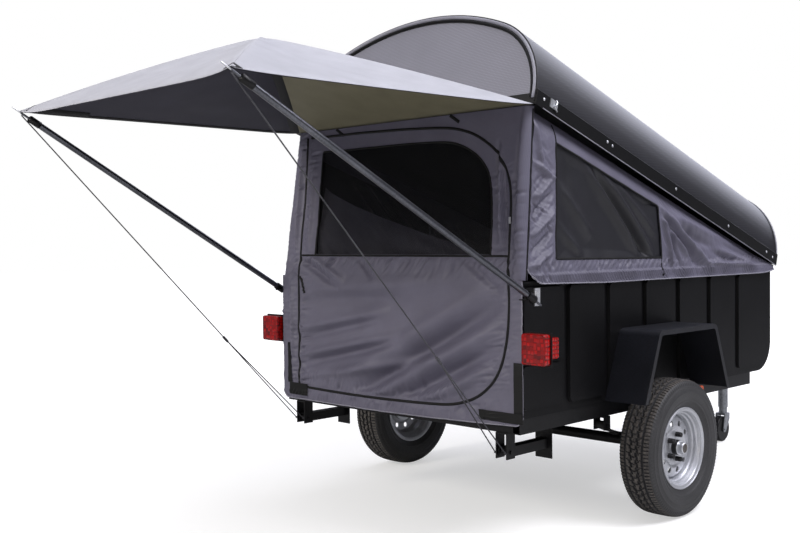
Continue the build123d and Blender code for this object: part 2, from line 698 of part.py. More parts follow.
tub_side = Pos(WALL_INNER_X, 0, 0) * extrude(make_face(Plane.YZ * outline), TUB_WALL, dir=(1, 0, 0))
tub_side += block(
    (WALL_INNER_X, TUB_REAR_Y, TUB_TOP_Z - RIM_FLANGE_THICKNESS), (TUB_HALF, TUB_FRONT_Y, TUB_TOP_Z)
)
tub_side += block(
    (TUB_HALF - REAR_FLANGE_WIDTH, TUB_REAR_Y, RAIL_TOP_Z), (WALL_OUTER_X, floor_rear_y, TUB_TOP_Z)
)
# columns: rear edge, front edge, bottom, top, height of the raised face
panels = [(TUB_REAR_Y, panel_starts[0], FOOT_PANEL_TOP_Z + FOOT_GROOVE, panel_top_z, PANEL_RAISE)]
panels += [(TUB_REAR_Y, panel_starts[0], PANEL_BOTTOM_Z, FOOT_PANEL_TOP_Z, FOOT_PANEL_RAISE)]
for rear, front in zip(panel_ends[1:], panel_starts[1:]):
    panels.append((rear, front, PANEL_BOTTOM_Z, panel_top_z, PANEL_RAISE))
hollows = []
for rear, front, low, high, raise_by in panels:
    middle = (WALL_OUTER_X, (rear + front) / 2, (low + high) / 2)
    plane = Plane(origin=middle, x_dir=(0, 1, 0), z_dir=(1, 0, 0))
    outer, inner = tray(plane, front - rear, high - low, raise_by, TUB_WALL)
    tub_side += outer
    hollows.append(inner)
for hollow in hollows:
    tub_side -= hollow
save("tub_side_right", tub_side)
save("tub_side_left", mirrored(tub_side))

# Tub front: a wall that curves into the floor, with raised panels
inner_radius = FRONT_CORNER_RADIUS - TUB_WALL
inner_diagonal = inner_radius * cos(radians(45))
front_inner_y = TUB_FRONT_Y - TUB_WALL
front_edges = Polyline(
    (TUB_FRONT_Y, corner_z), (TUB_FRONT_Y, TUB_TOP_Z), (front_inner_y, TUB_TOP_Z), (front_inner_y, corner_z)
)
front_edges += ThreePointArc(
    (front_inner_y, corner_z),
    (floor_front_y + inner_diagonal, corner_z - inner_diagonal),
    (floor_front_y, RAIL_TOP_Z + TUB_WALL),
)
front_edges += Line((floor_front_y, RAIL_TOP_Z + TUB_WALL), (floor_front_y, RAIL_TOP_Z))
front_edges += ThreePointArc(
    (floor_front_y, RAIL_TOP_Z), (floor_front_y + diagonal, corner_z - diagonal), (TUB_FRONT_Y, corner_z)
)
front_face = make_face(Plane.YZ * front_edges)
tub_front = Pos(-WALL_INNER_X, 0, 0) * extrude(front_face, 2 * WALL_INNER_X, dir=(1, 0, 0))
front_pitch = FRONT_PANEL_SPAN / FRONT_PANEL_COUNT
front_low_z = corner_z + GROOVE_WIDTH / 2
hollows = []
for i in range(FRONT_PANEL_COUNT):
    panel_x = (i - (FRONT_PANEL_COUNT - 1) / 2) * front_pitch
    plane = Plane(
        origin=(panel_x, TUB_FRONT_Y, (front_low_z + FRONT_PANEL_TOP_Z) / 2), x_dir=(1, 0, 0), z_dir=(0, 1, 0)
    )
    outer, inner = tray(
        plane, front_pitch - GROOVE_WIDTH, FRONT_PANEL_TOP_Z - front_low_z, FRONT_PANEL_RAISE, TUB_WALL
    )
    tub_front += outer
    hollows.append(inner)
for hollow in hollows:
    tub_front -= hollow
save("tub_front", tub_front)

# Fenders: a folded strip over each wheel with a turned lip along its outer edge
slope = (FENDER_BOTTOM_HALF - FENDER_TOP_HALF) / (FENDER_TOP_Z - FENDER_BOTTOM_Z)
slant = hypot(1, slope)


def fender_block(inset, low_x, high_x):
    """The space under the fender's folded side view, moved inwards by the inset."""
    top_z = FENDER_TOP_Z - inset
    top_half = FENDER_TOP_HALF + slope * inset - slant * inset
    bottom_half = FENDER_BOTTOM_HALF - slant * inset
    folds = FilletPolyline(
        (-bottom_half, FENDER_BOTTOM_Z),
        (-top_half, top_z),
        (top_half, top_z),
        (bottom_half, FENDER_BOTTOM_Z),
        radius=FENDER_BEND - inset,
    )
    face = make_face(Plane.YZ * (folds + Line(folds @ 1, folds @ 0)))
    return Pos(low_x, 0, 0) * extrude(face, high_x - low_x, dir=(1, 0, 0))


lip_x = FENDER_OUTER_X - FENDER_SHEET
fender = fender_block(0, TUB_HALF, FENDER_OUTER_X)
fender -= fender_block(FENDER_SHEET, TUB_HALF - CUT_MARGIN, lip_x)
fender -= fender_block(FENDER_LIP, lip_x - CUT_MARGIN, FENDER_OUTER_X + CUT_MARGIN)
save("fender_right", fender)
save("fender_left", mirrored(fender))

# Tail lamps on plates behind the tub's rear corners, and the side lamps and markers
plate_front_y = TUB_REAR_Y
plate_rear_y = plate_front_y - LAMP_PLATE
plate_outer_x = LAMP_X + LAMP_WIDTH / 2 + LAMP_PLATE_MARGIN
plate = block(
    (WALL_INNER_X, plate_rear_y, LAMP_Z - LAMP_HEIGHT / 2 - LAMP_PLATE_MARGIN),
    (plate_outer_x, plate_front_y, LAMP_Z + LAMP_HEIGHT / 2 + LAMP_PLATE_MARGIN),
)
save("lamp_plates", plate, mirrored(plate))
lamp = block(
    (LAMP_X - LAMP_WIDTH / 2, plate_rear_y - LAMP_DEPTH, LAMP_Z - LAMP_HEIGHT / 2),
    (LAMP_X + LAMP_WIDTH / 2, plate_rear_y, LAMP_Z + LAMP_HEIGHT / 2),
)
lamp = fillet(lamp.edges().filter_by(Axis.Y), LAMP_CORNER)
lamp = fillet(lamp.faces().sort_by(Axis.Y)[0].edges(), LAMP_EDGE)
save("tail_lamps", lamp, mirrored(lamp))
side_lamp = block(
    (TUB_HALF, SIDE_LAMP_Y - SIDE_LAMP_LENGTH / 2, SIDE_LAMP_Z - SIDE_LAMP_HEIGHT / 2),
    (TUB_HALF + SIDE_LAMP_DEPTH, SIDE_LAMP_Y + SIDE_LAMP_LENGTH / 2, SIDE_LAMP_Z + SIDE_LAMP_HEIGHT / 2),
)
side_lamp = fillet(side_lamp.edges().filter_by(Axis.X), SIDE_LAMP_CORNER)
save("side_lamps", side_lamp, mirrored(side_lamp))
marker = block(
    (RAIL_OUTER_X, MARKER_Y - MARKER_LENGTH / 2, MARKER_Z - MARKER_HEIGHT / 2),
    (RAIL_OUTER_X + MARKER_DEPTH, MARKER_Y + MARKER_LENGTH / 2, MARKER_Z + MARKER_HEIGHT / 2),
)
marker = fillet(marker.edges().filter_by(Axis.X), MARKER_CORNER)
save("rail_markers", marker, mirrored(marker))

# Latches: draw latches on the tub's rear corners, bail latches on its front, catches on the lid
latch = block(
    (TUB_HALF, LATCH_Y - LATCH_WIDTH / 2, LATCH_Z - LATCH_HEIGHT / 2),
    (TUB_HALF + LATCH_DEPTH / 2, LATCH_Y + LATCH_WIDTH / 2, LATCH_Z + LATCH_HEIGHT / 2),
)
latch += block(
    (TUB_HALF, LATCH_Y - LATCH_WIDTH / 4, LATCH_Z - LATCH_HEIGHT / 3),
    (TUB_HALF + LATCH_DEPTH, LATCH_Y + LATCH_WIDTH / 4, LATCH_Z + LATCH_HEIGHT / 3),
)
save("rear_latches", latch, mirrored(latch))
bail_path = FilletPolyline(
    (BAIL_X, TUB_FRONT_Y + BAIL_PLATE, BAIL_Z + BAIL_HEIGHT / 2),
    (BAIL_X, TUB_FRONT_Y + BAIL_REACH, BAIL_Z + BAIL_HEIGHT / 2),
    (BAIL_X, TUB_FRONT_Y + BAIL_REACH, BAIL_Z - BAIL_HEIGHT / 2),
    (BAIL_X, TUB_FRONT_Y + BAIL_PLATE, BAIL_Z - BAIL_HEIGHT / 2),
    radius=BAIL_BEND,
)
bail = sweep(Plane(origin=bail_path @ 0, z_dir=bail_path % 0) * Circle(BAIL_RADIUS), path=bail_path)
bail += block(
    (BAIL_X - BAIL_PLATE_WIDTH / 2, TUB_FRONT_Y, BAIL_Z - BAIL_HEIGHT / 2 - BAIL_PLATE_MARGIN),
    (BAIL_X + BAIL_PLATE_WIDTH / 2, TUB_FRONT_Y + BAIL_PLATE, BAIL_Z + BAIL_HEIGHT / 2 + BAIL_PLATE_MARGIN),
)
save("front_latches", bail, mirrored(bail))

# Stabiliser legs: brackets under the rear cross member and channel legs folded forward
pivot_z = RAIL_BOTTOM_Z - STABILISER_PIVOT_DROP
leg_half = STABILISER_WIDTH / 2
bracket_half = leg_half + SIDE_PLAY + STABILISER_SHEET
bracket_rear_y = REAR_MEMBER_Y - STABILISER_BRACKET_LENGTH / 2
bracket_front_y = REAR_MEMBER_Y + STABILISER_BRACKET_LENGTH / 2
bracket = block(
    (STABILISER_X - bracket_half, bracket_rear_y, pivot_z - STABILISER_HEIGHT / 2 - STABILISER_BRACKET_LAP),
    (STABILISER_X + bracket_half, bracket_front_y, RAIL_BOTTOM_Z),
)
bracket -= block(
    (STABILISER_X - leg_half - SIDE_PLAY, bracket_rear_y - CUT_MARGIN, 0),
    (STABILISER_X + leg_half + SIDE_PLAY, bracket_front_y + CUT_MARGIN, RAIL_BOTTOM_Z - STABILISER_SHEET),
)
pin_half = bracket_half + STABILISER_PIN_END
bracket += rod(
    (STABILISER_X - pin_half, REAR_MEMBER_Y, pivot_z),
    (STABILISER_X + pin_half, REAR_MEMBER_Y, pivot_z),
    STABILISER_PIN,
)
save("stabiliser_brackets", bracket, mirrored(bracket))
leg_end_y = REAR_MEMBER_Y + STABILISER_LENGTH
leg = block(
    (STABILISER_X - leg_half, REAR_MEMBER_Y - STABILISER_HEIGHT / 2, pivot_z - STABILISER_HEIGHT / 2),
    (STABILISER_X + leg_half, leg_end_y, pivot_z + STABILISER_HEIGHT / 2),
)
leg = fillet(leg.edges().filter_by(Axis.X).group_by(Axis.Y)[0], STABILISER_ROUND)
web_half = leg_half - STABILISER_SHEET
leg -= block(
    (STABILISER_X - web_half, REAR_MEMBER_Y - STABILISER_HEIGHT, 0),
    (STABILISER_X + web_half, leg_end_y + CUT_MARGIN, pivot_z + STABILISER_HEIGHT / 2 - STABILISER_SHEET),
)
foot_half = STABILISER_FOOT_WIDTH / 2
foot_reach = STABILISER_FOOT_HEIGHT / 2
leg += block(
    (STABILISER_X - foot_half, leg_end_y, pivot_z - foot_reach),
    (STABILISER_X + foot_half, leg_end_y + STABILISER_SHEET, pivot_z + foot_reach),
)
leg -= rod(
    (STABILISER_X - bracket_half, REAR_MEMBER_Y, pivot_z),
    (STABILISER_X + bracket_half, REAR_MEMBER_Y, pivot_z),
    STABILISER_PIN + RUNNING_GAP,
)
save("stabiliser_leg_right", leg)
save("stabiliser_leg_left", mirrored(leg))

# Tongue jack: a plate and stub on the tongue, the jack tube with its crank, and the inner leg
tongue_middle_z = RAIL_BOTTOM_Z - TONGUE_HEIGHT / 2
plate_x = tongue_half + JACK_PLATE
collar_radius = JACK_STUB_RADIUS + RUNNING_GAP + JACK_COLLAR_WALL
stub_end_x = JACK_X - JACK_TUBE_RADIUS - JACK_STUB_GAP
mount = block(
    (tongue_half, JACK_Y - JACK_PLATE_LENGTH / 2, tongue_bottom_z),
    (plate_x, JACK_Y + JACK_PLATE_LENGTH / 2, RAIL_BOTTOM_Z),
)
stub_start_x = tongue_half + JACK_PLATE / 2
mount += rod((stub_start_x, JACK_Y, tongue_middle_z), (stub_end_x, JACK_Y, tongue_middle_z), JACK_STUB_RADIUS)
save("jack_mount", mount)
jack_bore = JACK_TUBE_RADIUS - JACK_TUBE_WALL
jack_leg_radius = jack_bore - RUNNING_GAP
jack_top_z = tongue_middle_z + JACK_TUBE_RISE
collar_start_x = plate_x + JACK_COLLAR_GAP
jack = rod((JACK_X, JACK_Y, JACK_TUBE_BOTTOM_Z), (JACK_X, JACK_Y, jack_top_z), JACK_TUBE_RADIUS)
jack += rod((collar_start_x, JACK_Y, tongue_middle_z), (JACK_X, JACK_Y, tongue_middle_z), collar_radius)
jack -= rod(
    (collar_start_x - CUT_MARGIN, JACK_Y, tongue_middle_z),
    (stub_end_x + RUNNING_GAP, JACK_Y, tongue_middle_z),
    JACK_STUB_RADIUS + RUNNING_GAP,
)
bore_low_z = JACK_TUBE_BOTTOM_Z - CUT_MARGIN
jack -= rod((JACK_X, JACK_Y, bore_low_z), (JACK_X, JACK_Y, jack_top_z - JACK_CAP), jack_bore)
save("jack_tube", jack)
crank_z = jack_top_z + JACK_CRANK_RISE
crank = rod((JACK_X, JACK_Y, jack_top_z), (JACK_X, JACK_Y, crank_z + JACK_CRANK_RADIUS), JACK_CRANK_BOSS)
crank += rod((JACK_X, JACK_Y, crank_z), (JACK_X + JACK_CRANK_REACH, JACK_Y, crank_z), JACK_CRANK_RADIUS)
grip_x = JACK_X + JACK_CRANK_REACH
grip_low_z = crank_z - JACK_CRANK_RADIUS
crank += rod((grip_x, JACK_Y, grip_low_z), (grip_x, JACK_Y, crank_z + JACK_GRIP_LENGTH), JACK_GRIP_RADIUS)
save("jack_crank", crank)
fork_top_z = 2 * CASTOR_RADIUS + CASTOR_FORK_GAP + CASTOR_CROWN
jack_leg = rod(
    (JACK_X, JACK_Y, fork_top_z + RUNNING_GAP),
    (JACK_X, JACK_Y, JACK_TUBE_BOTTOM_Z + JACK_LEG_ENGAGEMENT),
    jack_leg_radius,
)
save("jack_leg", jack_leg)

# Castor: a pressed fork below the jack's leg and its wheel, trailing to the rear
fork_half = CASTOR_WIDTH / 2 + CASTOR_FORK_GAP / 2 + CASTOR_FORK_SHEET
axle_y = JACK_Y - CASTOR_TRAIL
fork_side = [
    (JACK_Y + jack_leg_radius, fork_top_z),
    (JACK_Y - jack_leg_radius - CASTOR_FORK_BACK, fork_top_z),
    (axle_y - CASTOR_FORK_EYE, CASTOR_RADIUS - CASTOR_FORK_EYE / 3),
    (axle_y - CASTOR_FORK_EYE / 2, CASTOR_RADIUS - CASTOR_FORK_EYE),
    (axle_y + CASTOR_FORK_EYE / 2, CASTOR_RADIUS - CASTOR_FORK_EYE),
    (JACK_Y + jack_leg_radius, fork_top_z - CASTOR_FORK_NOSE),
]
fork = side_prism(fork_side, JACK_X - fork_half, JACK_X + fork_half)
fork -= block(
    (JACK_X - fork_half + CASTOR_FORK_SHEET, axle_y - 2 * CASTOR_RADIUS, 0),
    (JACK_X + fork_half - CASTOR_FORK_SHEET, JACK_Y + 2 * CASTOR_RADIUS, fork_top_z - CASTOR_CROWN),
)
bolt_half = fork_half + CASTOR_AXLE_END
fork += rod(
    (JACK_X - bolt_half, axle_y, CASTOR_RADIUS),
    (JACK_X + bolt_half, axle_y, CASTOR_RADIUS),
    CASTOR_AXLE_RADIUS,
)
save("castor_fork", fork)
castor_half = CASTOR_WIDTH / 2
castor = rod(
    (JACK_X - castor_half, axle_y, CASTOR_RADIUS),
    (JACK_X + castor_half, axle_y, CASTOR_RADIUS),
    CASTOR_RADIUS,
)
castor = fillet(castor.edges(), CASTOR_ROUND)
castor -= rod(
    (JACK_X - CASTOR_WIDTH, axle_y, CASTOR_RADIUS),
    (JACK_X + CASTOR_WIDTH, axle_y, CASTOR_RADIUS),
    CASTOR_AXLE_RADIUS + RUNNING_GAP,
)
save("castor_wheel", castor)


# Lid: an arched skin closed at the front, end panels, edge rails and hinges

def arch(inset):
    """The lid's cross section moved inwards by the inset: upright sides, round corners, a flat top arc."""
    half = LID_HALF - inset
    apex = LID_APEX - inset
    corner = LID_CORNER_RADIUS - inset
    across = half - corner
    rise = apex - LID_SIDE
    top_radius = (across**2 + rise**2 - corner**2) / (2 * (rise - corner))
    meet = atan2(top_radius - rise, across)

    def at(radius, centre, angle):
        return centre[0] + radius * cos(angle), LID_BASE_Z + centre[1] + radius * sin(angle)

    right = (across, LID_SIDE)
    left = (-across, LID_SIDE)
    half_turn = radians(180)
    side_z = LID_BASE_Z + LID_SIDE
    right_meet = at(corner, right, meet)
    left_meet = at(corner, left, half_turn - meet)
    edges = Polyline((-half, side_z), (-half, LID_BASE_Z), (half, LID_BASE_Z), (half, side_z))
    edges += ThreePointArc((half, side_z), at(corner, right, meet / 2), right_meet)
    edges += ThreePointArc(right_meet, (0, LID_BASE_Z + apex), left_meet)
    edges += ThreePointArc(left_meet, at(corner, left, half_turn - meet / 2), (-half, side_z))
    return make_face(Plane.XZ * edges)


def arch_block(inset, rear_y, front_y):
    return Pos(0, front_y, 0) * extrude(arch(inset), front_y - rear_y, dir=(0, -1, 0))


shell = arch_block(0, LID_REAR_Y, LID_FRONT_Y)
cut_rear_y = LID_REAR_Y - CUT_MARGIN
cut_low_z = LID_BASE_Z - CUT_MARGIN
bar_half = LID_HALF - LID_SKIN
shell -= arch_block(LID_SKIN, cut_rear_y, LID_FRONT_Y - LID_SKIN)
shell -= block(
    (-bar_half, cut_rear_y, cut_low_z), (bar_half, LID_FRONT_Y - LID_SKIN, LID_BASE_Z + CUT_MARGIN)
)
save("lid_shell", opened(shell))
band_front_y = LID_REAR_Y + LID_BAND_DEPTH
bar_top_z = LID_BASE_Z + LID_REAR_BAR_HEIGHT
below_band = block((-LID_HALF, cut_rear_y, cut_low_z), (LID_HALF, band_front_y + CUT_MARGIN, bar_top_z))
band = arch_block(LID_SKIN, LID_REAR_Y, band_front_y)
band -= arch_block(LID_BAND, cut_rear_y, band_front_y + CUT_MARGIN)
band -= below_band
save("lid_rear_band", opened(band))
panel_front_y = LID_REAR_Y + LID_PANEL_INSET
panel = arch_block(LID_BAND, panel_front_y - LID_PANEL, panel_front_y) - below_band
save("lid_rear_panel", opened(panel))
bar = block((-bar_half, LID_REAR_Y, LID_BASE_Z - LID_RAIL_DROP), (bar_half, band_front_y, bar_top_z)) - shell
save("lid_rear_bar", opened(bar))
rail_low_z = LID_BASE_Z - LID_RAIL_DROP
rail_high_z = rail_low_z + LID_RAIL_HEIGHT
rail_section = make_face(
    Plane.XZ
    * Polyline(
        (LID_HALF, rail_low_z),
        (LID_OUTER_HALF, rail_low_z),
        (LID_OUTER_HALF, rail_high_z - LID_RAIL_WIDTH / 2),
        (LID_HALF + LID_RAIL_WIDTH / 2, rail_high_z),
        (LID_HALF, rail_high_z),
        close=True,
    )
)
lid_rail = Pos(0, LID_FRONT_Y, 0) * extrude(rail_section, LID_FRONT_Y - LID_REAR_Y, dir=(0, -1, 0))
save("lid_rails", opened(lid_rail), opened(mirrored(lid_rail)))
catch_y = LID_REAR_Y + CATCH_FROM_REAR
catch = block(
    (LID_OUTER_HALF, catch_y - CATCH_LENGTH / 2, rail_low_z + CATCH_RISE),
    (LID_OUTER_HALF + CATCH_DEPTH, catch_y + CATCH_LENGTH / 2, rail_low_z + CATCH_RISE + CATCH_HEIGHT),
)
save("lid_catches", opened(catch), opened(mirrored(catch)))

# Hinges: two knuckles on the tub's leaf, one between them on a web from the leaf inside the lid's front
HINGE_PLACES = (-HINGE_SPACING, 0.0, HINGE_SPACING)
third = HINGE_LENGTH / 3
tub_leaves = []
lid_leaves = []
knuckle_room = 2 * HINGE_KNUCKLE_RADIUS
lid_inner_y = LID_FRONT_Y - LID_SKIN
for hinge_x in HINGE_PLACES:
    low_x = hinge_x - HINGE_LENGTH / 2
    high_x = hinge_x + HINGE_LENGTH / 2
    lid_low_x = low_x + third
    lid_high_x = high_x - third
    knuckle_gap = block(
        (lid_low_x - RUNNING_GAP, HINGE_Y - knuckle_room, HINGE_Z - knuckle_room),
        (lid_high_x + RUNNING_GAP, HINGE_Y + knuckle_room, HINGE_Z + knuckle_room),
    )
    tub_leaf = block(
        (low_x, TUB_FRONT_Y, HINGE_Z - HINGE_LEAF_HEIGHT - HINGE_KNUCKLE_RADIUS),
        (high_x, TUB_FRONT_Y + HINGE_PLATE, HINGE_Z),
    )
    tub_leaf += rod((low_x, HINGE_Y, HINGE_Z), (high_x, HINGE_Y, HINGE_Z), HINGE_KNUCKLE_RADIUS)
    tub_leaf -= knuckle_gap
    tub_leaves.append(tub_leaf)
    lid_leaf = block(
        (lid_low_x, lid_inner_y - HINGE_PLATE, HINGE_Z - HINGE_PLATE / 2),
        (lid_high_x, lid_inner_y, LID_BASE_Z + HINGE_LEAF_HEIGHT),
    )
    lid_leaf += block(
        (lid_low_x, HINGE_Y, HINGE_Z - HINGE_PLATE / 2),
        (lid_high_x, lid_inner_y, HINGE_Z + HINGE_PLATE / 2),
    )
    lid_leaf += rod((lid_low_x, HINGE_Y, HINGE_Z), (lid_high_x, HINGE_Y, HINGE_Z), HINGE_KNUCKLE_RADIUS)
    lid_leaves.append(opened(lid_leaf))
save("hinge_tub_leaves", *tub_leaves)
save("hinge_lid_leaves", *lid_leaves)

# Fabric side walls: from a hem over the tub's rim up to the edge rail of the open lid
edge_rear_y, edge_rear_z = opened_point(LID_REAR_Y, rail_low_z)
edge_front_y, edge_front_z = opened_point(LID_FRONT_Y, rail_low_z)
edge_slope = (edge_rear_z - edge_front_z) / (edge_rear_y - edge_front_y)


def lid_edge_z(y):
    """Height of the open lid's lower edge above a place along the trailer."""
    return edge_front_z + (y - edge_front_y) * edge_slope


hem_z = TUB_TOP_Z - WALL_HEM_DROP
top_gap = FABRIC + SOFT_GAP
wall_rear_low_y = TUB_REAR_Y + SIDE_WALL_REAR_INSET
wall_rear_high_y = edge_rear_y + SIDE_WALL_REAR_INSET
wall_front_y = edge_front_y - (SIDE_WALL_FRONT_HEIGHT + top_gap - edge_front_z + TUB_TOP_Z) / -edge_slope
side_outline = [
    (wall_rear_low_y, hem_z),
    (wall_front_y, hem_z),
    (wall_front_y, lid_edge_z(wall_front_y) - top_gap),
    (wall_rear_high_y, lid_edge_z(wall_rear_high_y) - top_gap),
]
sill_z = TUB_TOP_Z + SIDE_WINDOW_SILL
window_rear_y = wall_rear_low_y + SIDE_WINDOW_REAR_INSET
window_front_y = window_rear_y + SIDE_WINDOW_LENGTH
window_outline = [
    (window_rear_y, sill_z),
    (window_front_y, sill_z),
    (window_front_y, lid_edge_z(window_front_y) - SIDE_WINDOW_TOP_GAP),
    (window_rear_y, lid_edge_z(window_rear_y) - SIDE_WINDOW_TOP_GAP),
]


def leaned(solid):
    """Set a flat side wall on the outside of the rim, its top leaning in under the lid."""
    low_x = TUB_HALF + SOFT_GAP
    return Pos(low_x, 0, TUB_TOP_Z) * Rot(0, -SIDE_WALL_LEAN, 0) * Pos(0, 0, -TUB_TOP_Z) * solid


side_wall = side_prism(side_outline, 0, FABRIC) - side_prism(window_outline, -FABRIC, 2 * FABRIC)
side_wall = leaned(side_wall)
window = leaned(side_prism(window_outline, (FABRIC - WINDOW_MESH) / 2, (FABRIC + WINDOW_MESH) / 2))
save("side_wall_right", side_wall)
save("side_wall_left", mirrored(side_wall))
save("side_windows", window, mirrored(window))

# Fabric rear wall: upright below the rim, leaning forward from there to the lid's rear edge
rear_face_y = plate_rear_y - SOFT_GAP
wall_top_z = edge_rear_z - top_gap
wall_top_y = edge_rear_y
lean = atan2(wall_top_y - rear_face_y, wall_top_z - REAR_WALL_BEND_Z)
rear_profile = [
    (rear_face_y, REAR_WALL_BOTTOM_Z),
    (rear_face_y, REAR_WALL_BEND_Z),
    (wall_top_y, wall_top_z),
    (wall_top_y - FABRIC, wall_top_z),
    (rear_face_y - FABRIC, REAR_WALL_BEND_Z),
    (rear_face_y - FABRIC, REAR_WALL_BOTTOM_Z),
]
rear_wall = side_prism(rear_profile, -REAR_WALL_HALF, REAR_WALL_HALF)
window_low = REAR_WINDOW_SILL
window_high = (wall_top_z - REAR_WALL_BEND_Z) / cos(lean) - REAR_WINDOW_TOP_GAP
slope_plane = Plane(
    origin=(0, rear_face_y - FABRIC / 2, REAR_WALL_BEND_Z), x_dir=(1, 0, 0), z_dir=(0, -cos(lean), sin(lean))
)
corner_turn = REAR_WINDOW_CORNER * (1 - cos(radians(45)))
door_window = Polyline(
    (REAR_WINDOW_RIGHT, window_high - REAR_WINDOW_CORNER),
    (REAR_WINDOW_RIGHT, window_low),
    (-REAR_WINDOW_LEFT, window_low),
    (-REAR_WINDOW_LEFT, window_high),
    (REAR_WINDOW_RIGHT - REAR_WINDOW_CORNER, window_high),
)
door_window += ThreePointArc(
    (REAR_WINDOW_RIGHT - REAR_WINDOW_CORNER, window_high),
    (REAR_WINDOW_RIGHT - corner_turn, window_high - corner_turn),
    (REAR_WINDOW_RIGHT, window_high - REAR_WINDOW_CORNER),
)
door_face = slope_plane * make_face(door_window)
rear_wall -= extrude(door_face, 2 * FABRIC, both=True)
rear_window = extrude(door_face, WINDOW_MESH / 2, both=True)
save("rear_wall", rear_wall)
save("rear_window", rear_window)

# Awning: four sloping panels that meet at a peak, from the lid's rear edge to the pole heads
near_y = edge_rear_y - top_gap - SOFT_GAP
near_z = edge_rear_z
peak = (0, AWNING_PEAK_Y, AWNING_PEAK_Z)
corners = [
    (AWNING_NEAR_HALF, near_y, near_z),
    (AWNING_FAR_HALF, AWNING_FAR_Y, AWNING_FAR_Z),
    (-AWNING_FAR_HALF, AWNING_FAR_Y, AWNING_FAR_Z),
    (-AWNING_NEAR_HALF, near_y, near_z),
]
canopy = None
for index, corner in enumerate(corners):
    following = corners[(index + 1) % len(corners)]
    triangle = make_face(Polyline(corner, following, peak, close=True))
    cloth_panel = extrude(triangle, FABRIC, dir=(0, 0, -1))
    canopy = cloth_panel if canopy is None else canopy + cloth_panel
save("awning_canopy", canopy)

# Awning poles in sockets on the tub's rear corners, with a thin tip at each end
foot = Vector(POLE_FOOT_X, POLE_FOOT_Y, POLE_FOOT_Z)
head_z = AWNING_FAR_Z - FABRIC - POLE_RADIUS - POLE_HEAD_DROP
head = Vector(AWNING_FAR_HALF, AWNING_FAR_Y + POLE_TIP_LENGTH, head_z)
along = (head - foot).normalized()
tip = head + along * POLE_TIP_LENGTH
pole = rod(foot, head, POLE_RADIUS)
pole += rod((foot - along * POLE_TIP_LENGTH), tip, POLE_TIP_RADIUS)
save("awning_poles", pole, mirrored(pole))
socket_radius = POLE_RADIUS + RUNNING_GAP + SOCKET_WALL
socket = rod(foot, (foot + along * SOCKET_LENGTH), socket_radius)
socket += block(
    (TUB_HALF, POLE_FOOT_Y - SOCKET_LENGTH, POLE_FOOT_Z),
    (POLE_FOOT_X, POLE_FOOT_Y, POLE_FOOT_Z + SOCKET_PLATE),
)
socket -= rod((foot - along * SOCKET_LENGTH), (foot + along * 2 * SOCKET_LENGTH), POLE_RADIUS + RUNNING_GAP)
save("pole_sockets", socket, mirrored(socket))

# Stays: from each pole head down to the stabiliser bracket, doubled below the slider
down = Vector(0, 0, -1)
below = (down - along * down.dot(along)).normalized()
stay_top = tip - along * 2 * STAY_RADIUS + below * (POLE_TIP_RADIUS + STAY_RADIUS + RUNNING_GAP)
cheek_x = bracket_half - STABILISER_SHEET / 2
stay_low = Vector(STABILISER_X + cheek_x, bracket_rear_y - STAY_KNOT_RADIUS - RUNNING_GAP, pivot_z)
stay_twin = stay_low - Vector(2 * cheek_x, 0, 0)
slider_at = stay_top + (stay_low - stay_top) * STAY_SLIDER_SHARE
stay_run = (stay_low - stay_top).normalized()
half_slider = stay_run * STAY_SLIDER_LENGTH / 2
stay = rod(slider_at - half_slider, slider_at + half_slider, STAY_SLIDER_RADIUS)
stay += rod(stay_top, slider_at, STAY_RADIUS)
for stay_end in (stay_low, stay_twin):
    stay += rod(slider_at, stay_end, STAY_RADIUS)
    stay += Pos(stay_end) * Sphere(STAY_KNOT_RADIUS)
save("awning_stays", stay, mirrored(stay))
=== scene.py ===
import math

import bmesh
import bpy
from mathutils import Matrix, Vector, noise


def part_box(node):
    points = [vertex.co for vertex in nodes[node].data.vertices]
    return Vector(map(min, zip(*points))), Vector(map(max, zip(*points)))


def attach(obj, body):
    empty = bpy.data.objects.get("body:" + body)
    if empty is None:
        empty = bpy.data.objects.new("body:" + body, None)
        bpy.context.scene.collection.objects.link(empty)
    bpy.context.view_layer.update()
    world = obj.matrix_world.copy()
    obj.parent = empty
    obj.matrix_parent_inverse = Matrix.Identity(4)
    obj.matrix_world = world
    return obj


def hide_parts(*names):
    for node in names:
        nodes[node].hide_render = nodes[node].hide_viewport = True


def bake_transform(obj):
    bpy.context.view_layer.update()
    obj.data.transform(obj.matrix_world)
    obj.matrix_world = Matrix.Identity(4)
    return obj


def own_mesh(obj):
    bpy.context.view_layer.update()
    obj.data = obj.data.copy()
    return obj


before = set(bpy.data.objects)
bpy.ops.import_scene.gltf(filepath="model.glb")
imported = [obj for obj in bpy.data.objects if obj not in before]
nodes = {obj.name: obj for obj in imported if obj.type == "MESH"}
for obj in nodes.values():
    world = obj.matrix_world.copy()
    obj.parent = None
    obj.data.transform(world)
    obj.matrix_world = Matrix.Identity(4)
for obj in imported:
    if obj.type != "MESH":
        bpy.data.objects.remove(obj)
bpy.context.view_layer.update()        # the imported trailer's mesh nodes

scene = bpy.context.scene


# The studio: a pale floor under a surround that is white to the camera and dim as a light. Soft boxes stand
# overhead, at the right and at both rear corners, with a wide one at the front left that the lid mirrors.
def linear(colour):
    """An sRGB hex colour as the linear RGBA that a socket takes."""
    parts = [int(colour[i:i + 2], 16) / 255 for i in (1, 3, 5)]
    return [p / 12.92 if p <= 0.04045 else ((p + 0.055) / 1.055) ** 2.4 for p in parts] + [1.0]


def add_node(tree, kind, inputs=None, **settings):
    """Add a node, set its properties, and give each listed input a value or a link."""
    node = tree.nodes.new(kind)
    for name, value in settings.items():
        setattr(node, name, value)
    for name, value in (inputs or {}).items():
        if isinstance(value, bpy.types.NodeSocket):
            tree.links.new(value, node.inputs[name])
        else:
            node.inputs[name].default_value = value
    return node


